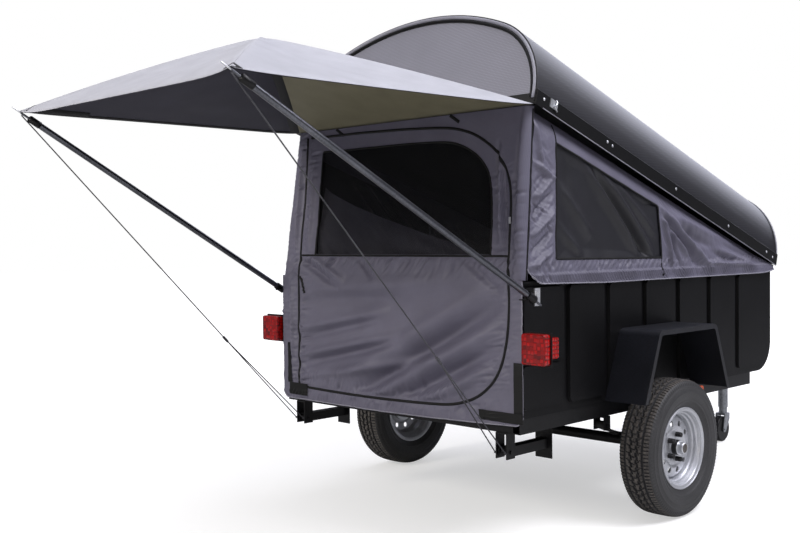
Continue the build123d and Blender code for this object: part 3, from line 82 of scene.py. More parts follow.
def start_finish(name, sockets):
    """Start a material: one Principled shader with these sockets, and the object's own metres."""
    material = bpy.data.materials.new(name)
    material.use_nodes = True
    tree = material.node_tree
    tree.nodes.clear()
    shader = add_node(tree, "ShaderNodeBsdfPrincipled", sockets)
    add_node(tree, "ShaderNodeOutputMaterial", {"Surface": shader.outputs[0]})
    place = add_node(tree, "ShaderNodeTexCoord").outputs["Object"]
    return material, tree, shader, place


def coloured(tree, shader, share, dark, light, height=None, strength=0.0, relief=0.0, sunk=False):
    """Link a colour between dark and light to the shader, and a bump with its relief in metres."""
    tint = add_node(tree, "ShaderNodeMix", {0: share, 6: linear(dark), 7: linear(light)}, data_type="RGBA")
    tree.links.new(tint.outputs[2], shader.inputs["Base Color"])
    if height is not None:
        sockets = {"Height": height, "Strength": strength, "Distance": relief}
        bump = add_node(tree, "ShaderNodeBump", sockets, invert=sunk)
        tree.links.new(bump.outputs[0], shader.inputs["Normal"])


CLOUD = 0.25        # metres from one cloud of tone to the next


def grained(name, dark, light, grain, relief, sockets):
    """A finish whose tone and height vary together over a random grain of the given size in metres."""
    material, tree, shader, place = start_finish(name, sockets)
    fine, cloud = [
        add_node(tree, "ShaderNodeTexNoise", {"Vector": place, "Scale": 1 / size, "Detail": detail}).outputs[0]
        for size, detail in ((grain, 4.0), (CLOUD, 3.0))]
    both = add_node(tree, "ShaderNodeMath", {0: fine, 1: cloud}, operation="MULTIPLY").outputs[0]
    share = add_node(tree, "ShaderNodeMapRange", {"Value": both, "From Min": 0.1, "From Max": 0.42}).outputs[0]
    coloured(tree, shader, share, dark, light, fine, 0.6, relief)
    return material


scene.view_settings.view_transform = "Standard"
world = bpy.data.worlds.new("white_surround")
scene.world = world
world.use_nodes = True
sky = world.node_tree
sky.nodes.clear()
ray = add_node(sky, "ShaderNodeLightPath").outputs
rays = {0: ray["Is Camera Ray"], 1: ray["Is Transmission Ray"]}
seen = add_node(sky, "ShaderNodeMath", rays, operation="MAXIMUM").outputs[0]
direction = add_node(sky, "ShaderNodeTexCoord").outputs["Generated"]
skyward = add_node(sky, "ShaderNodeSeparateXYZ", {0: direction}).outputs["Z"]
rise = {"Value": skyward, "From Min": -0.05, "From Max": 0.75, "To Min": 0.05, "To Max": 0.6}
dim = add_node(sky, "ShaderNodeMapRange", rise, interpolation_type="SMOOTHSTEP").outputs[0]
plain = add_node(sky, "ShaderNodeBackground", {"Color": linear("#e6e6f2"), "Strength": dim})
white = add_node(sky, "ShaderNodeBackground", {"Color": linear("#ffffff"), "Strength": 1.0})
surround = add_node(sky, "ShaderNodeMixShader", {0: seen, 1: plain.outputs[0], 2: white.outputs[0]})
add_node(sky, "ShaderNodeOutputWorld", {"Surface": surround.outputs[0]})

# floor paint: matt and pale, with a faint roller texture; the camera sees it brighter, up to white far away
floor_paint, tree, shader, place = start_finish("matt_floor_paint", {"Roughness": 0.9, "IOR": 1.45})
roller = {"Vector": place, "Scale": 1 / 0.05, "Detail": 2.0}
coloured(tree, shader, add_node(tree, "ShaderNodeTexNoise", roller).outputs[0], "#c4c4c2", "#cdcdcb")
reach = add_node(tree, "ShaderNodeVectorMath", {0: place}, operation="LENGTH").outputs["Value"]
FADE_NEAR, FADE_FAR = 2.0, 7.0
fade = {"Value": reach, "From Min": FADE_NEAR, "From Max": FADE_FAR, "To Min": 0.5, "To Max": 1.0}
far_off = add_node(tree, "ShaderNodeMapRange", fade, interpolation_type="SMOOTHSTEP").outputs[0]
to_camera = add_node(tree, "ShaderNodeLightPath").outputs["Is Camera Ray"]
shader.inputs["Emission Color"].default_value = linear("#ffffff")
glow = add_node(tree, "ShaderNodeMath", {0: to_camera, 1: far_off}, operation="MULTIPLY").outputs[0]
tree.links.new(glow, shader.inputs["Emission Strength"])
floor_mesh = bpy.data.meshes.new("studio_floor")
FLOOR_HALF, FLOOR_DROP = 40.0, 0.001
corners = [(x * FLOOR_HALF, y * FLOOR_HALF, -FLOOR_DROP) for x, y in ((-1, -1), (1, -1), (1, 1), (-1, 1))]
floor_mesh.from_pydata(corners, [], [(0, 1, 2, 3)])
floor_mesh.materials.append(floor_paint)
studio_floor = bpy.data.objects.new("studio_floor", floor_mesh)
scene.collection.objects.link(studio_floor)


def soft_box(name, place, aim, size, watts, colour):
    """A square area lamp that faces the aim."""
    lamp = bpy.data.lights.new(name, "AREA")
    lamp.shape = "SQUARE"
    lamp.size = size
    lamp.energy = watts
    lamp.color = linear(colour)[:3]
    holder = bpy.data.objects.new(name, lamp)
    holder.location = place
    holder.rotation_euler = (Vector(aim) - Vector(place)).to_track_quat("-Z", "Y").to_euler()
    scene.collection.objects.link(holder)


soft_box("soft_box_overhead", (0.6, -0.4, 6.2), (0.1, -0.2, 1.2), 4.5, 145, "#f8f8ff")
soft_box("soft_box_right", (4.2, 1.2, 5.8), (0.5, 0.2, 1.1), 3.4, 385, "#f8f7ff")
soft_box("soft_box_rear", (-1.6, -6.6, 3.8), (0, -0.8, 0.9), 1.4, 250, "#fffaf4")
soft_box("soft_box_rear_right", (3.8, -5.6, 1.9), (0.6, -0.4, 0.6), 1.4, 52, "#fff8f0")
soft_box("soft_box_front_left", (-1.9, 7.6, 3.8), (0, 0, 1.7), 6.0, 240, "#eceeff")

# camera: eye height at the trailer's rear right, as the photograph was taken
LENS_PIXELS, IMAGE_PIXELS, SENSOR = 1032.63, 800, 36.0
EYE_PLACE = (3.2167, -4.1311, 1.2323)
yaw, pitch, roll = (math.radians(angle) for angle in (44.7186, -1.3896, -0.5457))
eye = bpy.data.cameras.new("eye")
eye.sensor_width = SENSOR
eye.lens = LENS_PIXELS * SENSOR / IMAGE_PIXELS
camera = bpy.data.objects.new("eye", eye)
aim = Matrix.Rotation(yaw, 4, "Z") @ Matrix.Rotation(math.pi / 2 + pitch, 4, "X")
camera.matrix_world = Matrix.Translation(EYE_PLACE) @ aim @ Matrix.Rotation(roll, 4, "Z")
scene.collection.objects.link(camera)
scene.camera = camera


# The chassis: rectangular steel tube welded into a ladder, with a tongue, a pressed coupler and folded
# brackets, all powder coated black. The springs' U-bolts and the coupler's latch are zinc plated.
def dress(finish, *names):
    """Give CAD nodes their finish."""
    for name in names:
        for slot in nodes[name].material_slots:
            slot.material = finish


# powder coat: satin black with a fine orange peel, drawn at 5 mm, coarser than the real 1 mm, to show
powder_coat = grained("powder_coated_steel", "#050506", "#0f0f11", 0.005, 0.0004,
                      {"Roughness": 0.45, "Specular IOR Level": 0.25})
# bright zinc: cold grey metal with a faint spangle of 4 mm
zinc_plate = grained("zinc_plated_steel", "#b0b2b6", "#e0e2e6", 0.004, 0.0002,
                     {"Roughness": 0.32, "Metallic": 0.75})
# galvanised: duller zinc with crystals of some 12 mm
galvanised = grained("hot_dip_galvanised_steel", "#7b7e82", "#b9bcc0", 0.012, 0.0003,
                     {"Roughness": 0.46, "Metallic": 1.0})
# spring steel under thin black paint, matt
spring_paint = grained("painted_spring_steel", "#0b0b0c", "#1b1a1a", 0.008, 0.0004,
                       {"Roughness": 0.6, "Specular IOR Level": 0.3})
dress(powder_coat, "side_rails", "cross_members", "tongue", "coupler", "spring_hangers",
      "stabiliser_brackets", "stabiliser_leg_left", "stabiliser_leg_right", "lamp_plates", "jack_mount",
      "pole_sockets", "axle_beam")
dress(spring_paint, "leaf_springs")
dress(zinc_plate, "coupler_latch")


def make_piece(name, parts, finish, body, smooth=True):
    """One mesh object from parts, each a list of points and one of faces, riding on a body."""
    points = []
    faces = []
    for part_points, part_faces in parts:
        first = len(points)
        points += part_points
        faces += [tuple(first + corner for corner in face) for face in part_faces]
    mesh = bpy.data.meshes.new(name)
    mesh.from_pydata(points, [], faces)
    mesh.materials.append(finish)
    mesh.polygons.foreach_set("use_smooth", [smooth] * len(mesh.polygons))
    mesh.update()
    piece = bpy.data.objects.new(name, mesh)
    scene.collection.objects.link(piece)
    if body:
        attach(piece, body)
    return piece


def ring(centre, axis, side, radius, sides):
    """Points round a circle about an axis."""
    third = axis.cross(side)
    angles = [2 * math.pi * i / sides for i in range(sides)]
    return [centre + (side * math.cos(a) + third * math.sin(a)) * radius for a in angles]


def tube_faces(rings, sides):
    """Faces between rings of points, with a cap at each end."""
    faces = []
    for row in range(rings - 1):
        for i in range(sides):
            a = row * sides + i
            b = row * sides + (i + 1) % sides
            faces.append((a, b, b + sides, a + sides))
    last = (rings - 1) * sides
    return faces + [tuple(reversed(range(sides))), tuple(range(last, last + sides))]


def turned_part(profile, base, axis, sides):
    """A solid of revolution: pairs of distance along the axis and radius, closed at both ends."""
    axis = Vector(axis).normalized()
    side = axis.orthogonal().normalized()
    points = []
    for along, radius in profile:
        points += ring(Vector(base) + axis * along, axis, side, radius, sides)
    return points, tube_faces(len(profile), sides)


def swept(path, radius, sides=8):
    """A round bar bent along a path."""
    path = [Vector(point) for point in path]
    points = []
    side = None
    for i, point in enumerate(path):
        ahead = path[min(i + 1, len(path) - 1)] - path[max(i - 1, 0)]
        ahead.normalize()
        side = ahead.orthogonal() if side is None else side - ahead * side.dot(ahead)
        side.normalize()
        points += ring(point, ahead, side, radius, sides)
    return points, tube_faces(len(path), sides)


def slab(low, high, edge):
    """A block with its edges broken by a chamfer."""
    low, high = Vector(low), Vector(high)
    shape = bmesh.new()
    for corner in range(8):
        signs = [corner >> axis & 1 for axis in range(3)]
        spot = Vector([high[a] if signs[a] else low[a] for a in range(3)])
        for kept in range(3):
            moved = spot.copy()
            for axis in range(3):
                if axis != kept:
                    moved[axis] += -edge if signs[axis] else edge
            shape.verts.new(moved)
    bmesh.ops.convex_hull(shape, input=shape.verts[:])
    bmesh.ops.dissolve_limit(shape, angle_limit=0.02, verts=shape.verts[:], edges=shape.edges[:])
    bmesh.ops.recalc_face_normals(shape, faces=shape.faces[:])
    shape.verts.index_update()
    part = ([v.co.copy() for v in shape.verts], [tuple(v.index for v in face.verts) for face in shape.faces])
    shape.free()
    return part


def arc(centre, first, second, start, end, steps):
    """Points of an arc: the centre plus cos times first and sin times second."""
    turn_at = [math.radians(start + (end - start) * i / steps) for i in range(steps + 1)]
    return [Vector(centre) + Vector(first) * math.cos(a) + Vector(second) * math.sin(a) for a in turn_at]


# U-bolts round the axle, with a plate and nuts on top of each spring
SPRING_X, CLAMP_TOP_Z, CLAMP_BAR, CLAMP_REACH = 0.693, 0.378, 0.005, 0.030
CLAMP_NUT = [(0, 0.0095), (0.009, 0.0095)]
tyre_low, tyre_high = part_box("tyre_right")
axle_z = (tyre_low.z + tyre_high.z) / 2
axle_y = (tyre_low.y + tyre_high.y) / 2
clamp_parts = []
for side in (-1, 1):
    x = side * SPRING_X
    for along in (-0.028, 0.028):
        y = axle_y + along
        bend = arc((x, y, axle_z), (CLAMP_REACH, 0, 0), (0, 0, CLAMP_REACH), 0, -180, 10)
        legs = [Vector((x + reach, y, CLAMP_TOP_Z)) for reach in (CLAMP_REACH, -CLAMP_REACH)]
        clamp_parts.append(swept(legs[:1] + bend + legs[1:], CLAMP_BAR))
        for reach in (-CLAMP_REACH, CLAMP_REACH):
            clamp_parts.append(turned_part(CLAMP_NUT, (x + reach, y, CLAMP_TOP_Z - 0.012), (0, 0, 1), 6))
    clamp_parts.append(slab((x - 0.042, axle_y - 0.05, CLAMP_TOP_Z - 0.020),
                            (x + 0.042, axle_y + 0.05, CLAMP_TOP_Z - 0.012), 0.002))
make_piece("spring_u_bolts", clamp_parts, zinc_plate, "chassis", smooth=False)


# The wheels: a rolled steel rim with a pressed disc, sprayed silver, on a zinc hub with five black nuts and
# a dust cap. The tyre is a radial with five ribs cut by sipes, and rings moulded on its sidewalls.

# wheel paint: aluminium flakes in clear lacquer, a soft metallic grey
wheel_paint = grained("silver_lacquered_steel", "#a3a5aa", "#c6c8cd", 0.003, 0.0001,
                      {"Roughness": 0.4, "Metallic": 0.6, "Coat Weight": 0.25, "Coat Roughness": 0.2})
# tyre rubber: carbon black compound, dull, greyed by road dust
rubber, tree, shader, place = start_finish("road_worn_rubber",
                                           {"Roughness": 0.78, "Specular IOR Level": 0.35})
dirt, pits = [
    add_node(tree, "ShaderNodeTexNoise", {"Vector": place, "Scale": 1 / size, "Detail": detail}).outputs[0]
    for size, detail in ((0.012, 6.0), (0.004, 2.0))]
dust = add_node(tree, "ShaderNodeMapRange", {"Value": dirt, "From Min": 0.3, "From Max": 0.75}).outputs[0]
coloured(tree, shader, dust, "#3a3837", "#645f5a", pits, 0.5, 0.0006)
# sidewall rubber: smoother and more even, a dark grey with a soft shine
sidewall_rubber = grained("moulded_sidewall_rubber", "#272728", "#3b3b3c", 0.005, 0.0002,
                          {"Roughness": 0.55, "Specular IOR Level": 0.4})
# black phosphate nuts and collars: near black, dull shine
black_steel = grained("black_phosphated_steel", "#0a0a0b", "#19191b", 0.003, 0.0002,
                      {"Roughness": 0.5, "Specular IOR Level": 0.4})

# half of the tyre's section, crown to bead: distance from the middle, radius
TYRE_SECTION = [(0.0, 0.305), (0.045, 0.3045), (0.060, 0.3022), (0.0695, 0.2975), (0.0755, 0.290),
                (0.0795, 0.279), (0.083, 0.266), (0.0855, 0.252), (0.0858, 0.240), (0.084, 0.224),
                (0.0785, 0.208), (0.0715, 0.196), (0.0665, 0.187), (0.0640, 0.1828)]
BEAD_HALF, BEAD_RADIUS = 0.058, 0.170
TREAD_HALF, CROWN_STEPS, TREAD_PITCHES, PITCH_STEPS = 0.066, 44, 60, 8
RIB_GROOVES, GROOVE_HALF, GROOVE_DEPTH = (-0.042, -0.0145, 0.0145, 0.042), 0.0045, 0.009
ZIGZAG, SIPE_DEPTH, SHOULDER_X = 0.0022, 0.005, 0.046
SIDEWALL_RINGS, RING_HEIGHT = ((0.2040, 0.2125), (0.2450, 0.2485), (0.2690, 0.2745)), 0.0022
SIDEWALL_STEP, FLUTE_RADIUS, FLUTE_DEPTH = 0.0035, 0.281, 0.0020


def clamp(value):
    """A value kept between 0 and 1."""
    return min(1.0, max(0.0, value))


def between_points(table, place):
    """Read a table of pairs, sorted by place, with straight lines between them."""
    for (p0, q0), (p1, q1) in zip(table, table[1:]):
        if place <= p1:
            break
    return q0 + (q1 - q0) * clamp((place - p0) / (p1 - p0))


def tread_cut(offset, step):
    """How deep the tread is cut at a place: four grooves, the inner two zigzag, and narrow sipes."""
    zigzag = ZIGZAG if step % PITCH_STEPS < PITCH_STEPS / 2 else -ZIGZAG
    for groove in RIB_GROOVES:
        if abs(offset - groove - (zigzag if abs(groove) < 0.03 else 0.0)) < GROOVE_HALF:
            return GROOVE_DEPTH
    if abs(offset) > SHOULDER_X:
        return SIPE_DEPTH if step % 4 == 0 else 0.0
    return SIPE_DEPTH if (step + int(abs(offset) / 0.006)) % PITCH_STEPS == 0 else 0.0


sidewall = []
for (x0, r0), (x1, r1) in zip(TYRE_SECTION[3:], TYRE_SECTION[4:]):
    parts = max(1, round((r0 - r1) / SIDEWALL_STEP))
    sidewall += [(x0 + (x1 - x0) * k / parts, r0 + (r1 - r0) * k / parts) for k in range(parts)]
sidewall.append(TYRE_SECTION[-1])
crown = [TREAD_HALF * (2 * i / CROWN_STEPS - 1) for i in range(CROWN_STEPS + 1)]
# rows round the section: offset, radius and whether the row is tread
rows = [(-x, r, False) for x, r in reversed(sidewall)]
rows += [(x, between_points(TYRE_SECTION, abs(x)), True) for x in crown]
rows += [(x, r, False) for x, r in sidewall]
rows += [(BEAD_HALF, BEAD_RADIUS, False), (-BEAD_HALF, BEAD_RADIUS, False)]
steps = TREAD_PITCHES * PITCH_STEPS
STUD_CIRCLE, NUT_FACE = 0.05715, 0.0195
NUT = [(0, 0.0105), (0.004, 0.0125), (0.024, 0.0122), (0.029, 0.0095), (0.031, 0.004)]
PLUG = [(-0.0045, 0.0205), (-0.0015, 0.0205), (-0.0006, 0.018), (-0.0004, 0.006)]
COLLAR = [(0.024, 0.0321), (0.0245, 0.0335), (0.047, 0.0335), (0.0485, 0.0321)]
for side_name, outward in (("left", -1), ("right", 1)):
    wheel_low, wheel_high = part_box(f"tyre_{side_name}")
    hub_centre = (wheel_low + wheel_high) / 2
    body = f"wheel_{side_name}"
    points = []
    faces = []
    for row, (x, r, is_tread) in enumerate(rows):
        following = (row + 1) % len(rows) * steps
        for step in range(steps):
            radius = r - (tread_cut(x, step) if is_tread else 0.0)
            rib = 0.0
            if not is_tread and r > 0.2:
                # moulded rings and the shoulder's radial flutes
                rib = RING_HEIGHT if any(low < r < high for low, high in SIDEWALL_RINGS) else 0.0
                rib -= FLUTE_DEPTH if r > FLUTE_RADIUS and step % 4 == 0 else 0.0
            angle = 2 * math.pi * step / steps
            spot = (x + math.copysign(rib, x), radius * math.cos(angle), radius * math.sin(angle))
            points.append(hub_centre + Vector(spot))
            ahead = (step + 1) % steps
            faces.append((row * steps + step, following + step, following + ahead, row * steps + ahead))
    tyre = make_piece(f"tread_tyre_{side_name}", [(points, faces)], rubber, body)
    tyre.data.materials.append(sidewall_rubber)
    for polygon in tyre.data.polygons:
        # the rib tops take the dusty tread rubber; the grooves and the sidewalls take the darker sidewall
        # rubber
        row, step = divmod(polygon.index, steps)
        rib_top = rows[row][2] and tread_cut(rows[row][0], step) == 0 == tread_cut(rows[row + 1][0], step)
        polygon.material_index = 0 if rib_top else 1
        polygon.use_smooth = not rows[row][2]
    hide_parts(f"tyre_{side_name}")
    dress(wheel_paint, f"wheel_rim_{side_name}")
    dress(zinc_plate, f"hub_{side_name}")

    # five long cone nuts on the studs, a plug in the hub's cap and a cast collar round it
    nuts = []
    for i in range(5):
        angle = math.radians(71 + 72 * i)
        across_y, up_z = STUD_CIRCLE * math.cos(angle), STUD_CIRCLE * math.sin(angle)
        spot = (hub_centre.x + outward * NUT_FACE, hub_centre.y + across_y, hub_centre.z + up_z)
        nuts.append(turned_part(NUT, spot, (outward, 0, 0), 6))
    make_piece(f"lug_nuts_{side_name}", nuts, black_steel, body, smooth=False)
    cap_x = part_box(f"hub_{side_name}")[1 if outward > 0 else 0].x
    plug = turned_part(PLUG, (cap_x, hub_centre.y, hub_centre.z), (outward, 0, 0), 24)
    make_piece(f"hub_plug_{side_name}", [plug], rubber, body)
    collar = turned_part(COLLAR, hub_centre, (outward, 0, 0), 28)
    make_piece(f"hub_collar_{side_name}", [collar], black_steel, body)


# The tub: sheets of black polyethylene, vacuum formed with raised panels and screwed together round a floor,
# with folded steel fenders bolted on over the wheels.

# polyethylene: dull black with a leathery mould grain, drawn at 7 mm so that it shows
tub_plastic = grained("vacuum_formed_polyethylene", "#040405", "#0b0b0d", 0.007, 0.0005,
                      {"Roughness": 0.48, "Specular IOR Level": 0.16, "IOR": 1.51})
dress(tub_plastic, "tub_floor", "tub_front", "tub_side_left", "tub_side_right")
# fender sheet: powder coat with a slightly bluer black
fender_coat = grained("powder_coated_fender_sheet", "#0c0d11", "#1b1c22", 0.006, 0.0003,
                      {"Roughness": 0.42, "Specular IOR Level": 0.32})
dress(fender_coat, "fender_left", "fender_right")
# a rubber lip inside the front rim closes the slot below the lid
SEAL_HALF, SEAL_LOW_Z, SEAL_HIGH_Z = 0.690, 1.030, 1.112
seal_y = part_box("tub_front")[1].y - 0.014
lip = slab((-SEAL_HALF, seal_y - 0.006, SEAL_LOW_Z), (SEAL_HALF, seal_y, SEAL_HIGH_Z), 0.0015)
make_piece("front_seal_lip", [lip], sidewall_rubber, "chassis", smooth=False)


# Lamps: red acrylic lenses on black plates at the rear, small red lamps on the sides and amber markers on the
# rails. The lenses are moulded with rows of prisms that break up the light.

PRISM = 0.016


def lens(name, deep, bright):
    """Clear-coated acrylic with square prisms of some 16 mm."""
    sockets = {"Roughness": 0.22, "IOR": 1.49, "Specular IOR Level": 0.35, "Coat Weight": 0.15,
               "Coat Roughness": 0.1}
    finish, tree, shader, place = start_finish(name, sockets)
    prisms = {"Vector": place, "Scale": 1 / PRISM, "Randomness": 0.35}
    cells = add_node(tree, "ShaderNodeTexVoronoi", prisms, distance="CHEBYCHEV")
    flank = {"Value": cells.outputs["Distance"], "From Min": 0.05, "From Max": 0.6}
    share = add_node(tree, "ShaderNodeMapRange", flank).outputs[0]
    coloured(tree, shader, share, bright, deep, share, 0.7, 0.002, sunk=True)
    return finish


red_lens = lens("red_acrylic_lens", "#430102", "#c00a08")
amber_lens = lens("amber_acrylic_lens", "#9a2a04", "#f06a12")
dress(red_lens, "tail_lamps", "side_lamps")
dress(amber_lens, "rail_markers")
# black ABS: smooth moulded plastic with a soft sheen
black_abs = grained("moulded_black_abs", "#050506", "#0c0c0d", 0.004, 0.0002,
                    {"Roughness": 0.42, "Specular IOR Level": 0.25, "IOR": 1.53})


# Latches and the tongue jack: draw latches, wire bails, catches and hinges of zinc plated steel; the jack is
# a galvanised tube with a crank, standing on a castor with a black plastic wheel.
dress(zinc_plate, "rear_latches", "front_latches", "lid_catches", "hinge_tub_leaves", "hinge_lid_leaves")
dress(galvanised, "jack_tube", "jack_leg", "jack_crank", "castor_fork")
dress(black_abs, "castor_wheel")


# The lid: an arched skin of grey ABS with a fine pressed hatch, a rear panel of the same sheet behind a black
# edge band, and black edge rails along its sides, screwed on.

WAVE_SCALE = 0.314  # Blender's wave repeats every 0.314 m at scale 1


def crossed_lines(tree, place, ways, spacing, distortion, operation):
    """Two sets of lines that cross, with the spacing in metres."""
    sockets = {"Vector": place, "Scale": WAVE_SCALE / spacing, "Distortion": distortion}
    sets = [add_node(tree, "ShaderNodeTexWave", sockets, bands_direction=way).outputs[1] for way in ways]
    return add_node(tree, "ShaderNodeMath", {0: sets[0], 1: sets[1]}, operation=operation).outputs[0]


def hatched(name, dark, light, sockets, spacing, depth):
    """Sheet with two sets of fine pressed lines that cross; the real 2 mm lines are drawn wider to show."""
    finish, tree, shader, place = start_finish(name, sockets)
    pressed = crossed_lines(tree, place, "XZ", spacing, 0.6, "MULTIPLY")
    clouds = {"Vector": place, "Scale": 3.0, "Detail": 4.0}
    cloud = add_node(tree, "ShaderNodeTexNoise", clouds).outputs[0]
    share = add_node(tree, "ShaderNodeMath", {0: pressed, 1: cloud}, operation="MULTIPLY").outputs[0]
    coloured(tree, shader, share, dark, light, pressed, 0.5, depth)
    return finish


# lid skin: dark grey satin that mirrors the sky at a flat angle; the rear panel, the same sheet, is duller and
# painted paler as painted light
lid_sheet = hatched("hatched_abs_sheet", "#19191e", "#303038",
                    {"Roughness": 0.4, "IOR": 1.7, "Metallic": 0.3}, 0.012, 0.0002)
panel_sheet_painted_light = hatched("hatched_sheet_painted_light", "#6a6a73", "#a6a6b3",
                      {"Roughness": 0.5, "IOR": 1.53}, 0.007, 0.0003)
dress(lid_sheet, "lid_shell")
# the rear panel takes the paler copy of the sheet: painted light
dress(panel_sheet_painted_light, "lid_rear_panel")
dress(black_abs, "lid_rear_band", "lid_rear_bar", "lid_rails")

HINGE = Vector((0, 1.2378, 1.081))
LID_OPEN = math.radians(17.9)
LID_TURN = Matrix.Rotation(-LID_OPEN, 3, "X")


def on_lid(x, y, z):
    """A place on the closed lid, as it stands when the lid is open."""
    return HINGE + LID_TURN @ (Vector((x, y, z)) - HINGE)


LID_HALF, LID_APEX, LID_CORNER, LID_SIDE, LID_BASE_Z = 0.731, 0.4815, 0.392, 0.020, 1.098
LID_REAR_Y, LID_FRONT_Y = -0.9725, 1.2595


def arch_line(inset, y):
    """The open lid's arch as a line round its section, moved in by the inset."""
    half, apex, corner = LID_HALF - inset, LID_APEX - inset, LID_CORNER - inset
    across_x, rise = half - corner, apex - LID_SIDE
    top_radius = (across_x ** 2 + rise ** 2 - corner ** 2) / (2 * (rise - corner))
    meet = math.degrees(math.atan2(top_radius - rise, across_x))
    line = [Vector((half, 0, 0))]
    line += arc((across_x, 0, LID_SIDE), (corner, 0, 0), (0, 0, corner), 0, meet, 14)
    line += arc((0, 0, apex - top_radius), (top_radius, 0, 0), (0, 0, top_radius), meet + 2, 178 - meet, 22)
    line += arc((-across_x, 0, LID_SIDE), (corner, 0, 0), (0, 0, corner), 180 - meet, 180, 14)
    line.append(Vector((-half, 0, 0)))
    return [on_lid(p.x, y, LID_BASE_Z + p.z) for p in line]


# grey edge beads round both ends of the lid, with black seals beside them
bead_vinyl = grained("grey_vinyl_edge_bead", "#6d6d76", "#8f8f99", 0.004, 0.0002, {"Roughness": 0.38})
end_beads = [swept(arch_line(0.0115, LID_REAR_Y - 0.001)[1:-1], 0.0080),
             swept(arch_line(-0.001, LID_FRONT_Y - 0.003), 0.0045)]
make_piece("lid_end_beads", end_beads, bead_vinyl, "lid")
seals = [swept(arch_line(0.002, LID_REAR_Y - 0.001), 0.003),
         swept(arch_line(0.025, LID_REAR_Y - 0.001)[1:-1], 0.005),
         swept(arch_line(-0.0005, LID_FRONT_Y - 0.014), 0.0028)]
make_piece("lid_end_seals", seals, black_abs, "lid")

# pan-head screws through the edge rails, spaced as they are seen along the open lid, a bent wire hook on each
# catch, and a grey bead where the fabric's keder runs in the rail's lower edge
RAIL_OUT_X, KEDER_X, KEDER_Z, KEDER_RADIUS, HOOK_RADIUS = 0.737, 0.7368, 1.0912, 0.0021, 0.0034
SCREW = [(0, 0.0065), (0.0015, 0.0065), (0.003, 0.005), (0.0036, 0.002)]
SCREWS_AT = ((-0.806, 1.790), (-0.36, 1.649), (-0.322, 1.634), (0.209, 1.465), (0.721, 1.294),
             (1.144, 1.158), (1.215, 1.13))
HOOK = ((0.7425, -0.732, 1.791), (0.7465, -0.731, 1.783), (0.7470, -0.737, 1.772), (0.7470, -0.749, 1.766),
        (0.7465, -0.741, 1.755), (0.7425, -0.728, 1.746))
screws = []
hooks = []
beads = []
for side in (-1, 1):
    screws += [turned_part(SCREW, (side * RAIL_OUT_X, y, z), (side, 0, 0), 12) for y, z in SCREWS_AT]
    hooks.append(swept([(side * x, y, z) for x, y, z in HOOK], HOOK_RADIUS))
    ends = [on_lid(side * KEDER_X, y, KEDER_Z) for y in (LID_REAR_Y + 0.05, LID_FRONT_Y - 0.01)]
    beads.append(swept(ends, KEDER_RADIUS))
make_piece("rail_screws", screws, zinc_plate, "lid")
make_piece("catch_hooks", hooks, zinc_plate, "lid")
make_piece("keder_beads", beads, bead_vinyl, "lid")


# The side walls: coated grey polyester, cut as a long triangle, sewn with a mesh window and gathered into a
# hem that hangs over the tub's rim. The upper edge runs in the lid's edge rail.

def woven(name, dark, light, thread, sockets):
    """Plain weave: two sets of threads in the cloth's own metres, with faint clouds over them."""
    finish, tree, shader, place = start_finish(name, sockets)
    cloth = add_node(tree, "ShaderNodeTexCoord").outputs["UV"]
    threads = crossed_lines(tree, cloth, "XY", thread, 1.0, "MAXIMUM")
    clouds = {"Vector": place, "Scale": 9.0, "Detail": 5.0}
    cloud = add_node(tree, "ShaderNodeTexNoise", clouds).outputs[0]
    share = add_node(tree, "ShaderNodeMath", {0: threads, 1: cloud}, operation="MULTIPLY").outputs[0]
    coloured(tree, shader, share, dark, light, threads, 0.3, 0.0004)
    return finish


# coated polyester: grey with a violet cast and a soft sheen; its 0.5 mm threads are drawn at 5 mm
wall_cloth = woven("coated_grey_polyester", "#4f4d5b", "#6b697a", 0.005,
                   {"Roughness": 0.55, "Specular IOR Level": 0.45})
# insect mesh: black knitted netting, so dense that it looks closed; drawn at 5 mm instead of 1.2 mm
side_mesh = woven("black_insect_mesh", "#0c0c11", "#1a1a23", 0.005, {"Roughness": 0.5})
# black polyester tape for bindings, zips and patches: dull and faintly clouded; the strips show no weave
black_tape = woven("black_polyester_tape", "#060607", "#111113", 0.004,
                   {"Roughness": 0.65, "Specular IOR Level": 0.3})
# grey piping, shiny from its vinyl cover
piping_vinyl = grained("grey_vinyl_piping", "#6c6b76", "#8d8c98", 0.004, 0.0002, {"Roughness": 0.45})


def grid_faces(wide, rows):
    """Faces of a grid: rows of points, each so many points wide."""
    firsts = [j * wide + i for j in range(rows - 1) for i in range(wide - 1)]
    return [(a, a + 1, a + wide + 1, a + wide) for a in firsts]


def give_metres(piece, metres):
    """Give each point its place on the flat cloth, for the weave."""
    layer = piece.data.uv_layers.new(name="cloth_metres")
    for loop in piece.data.loops:
        layer.data[loop.index].uv = metres[loop.vertex_index]


def lay_sheet(name, columns, rows, place_at, finish, kept=None):
    """A grid of cloth: place_at gives a point and its place on the flat cloth for shares of the grid."""
    wide = columns + 1
    places = [place_at(i / columns, j / rows) for j in range(rows + 1) for i in range(wide)]
    faces = grid_faces(wide, rows + 1)
    if kept:
        faces = [face for face in faces
                 if kept((face[0] % wide + 0.5) / columns, (face[0] // wide + 0.5) / rows)]
    used = sorted({corner for face in faces for corner in face})
    renumber = {old: new for new, old in enumerate(used)}
    faces = [tuple(renumber[corner] for corner in face) for face in faces]
    piece = make_piece(name, [([places[i][0] for i in used], faces)], finish, "chassis")
    give_metres(piece, [places[i][1] for i in used])
    return piece


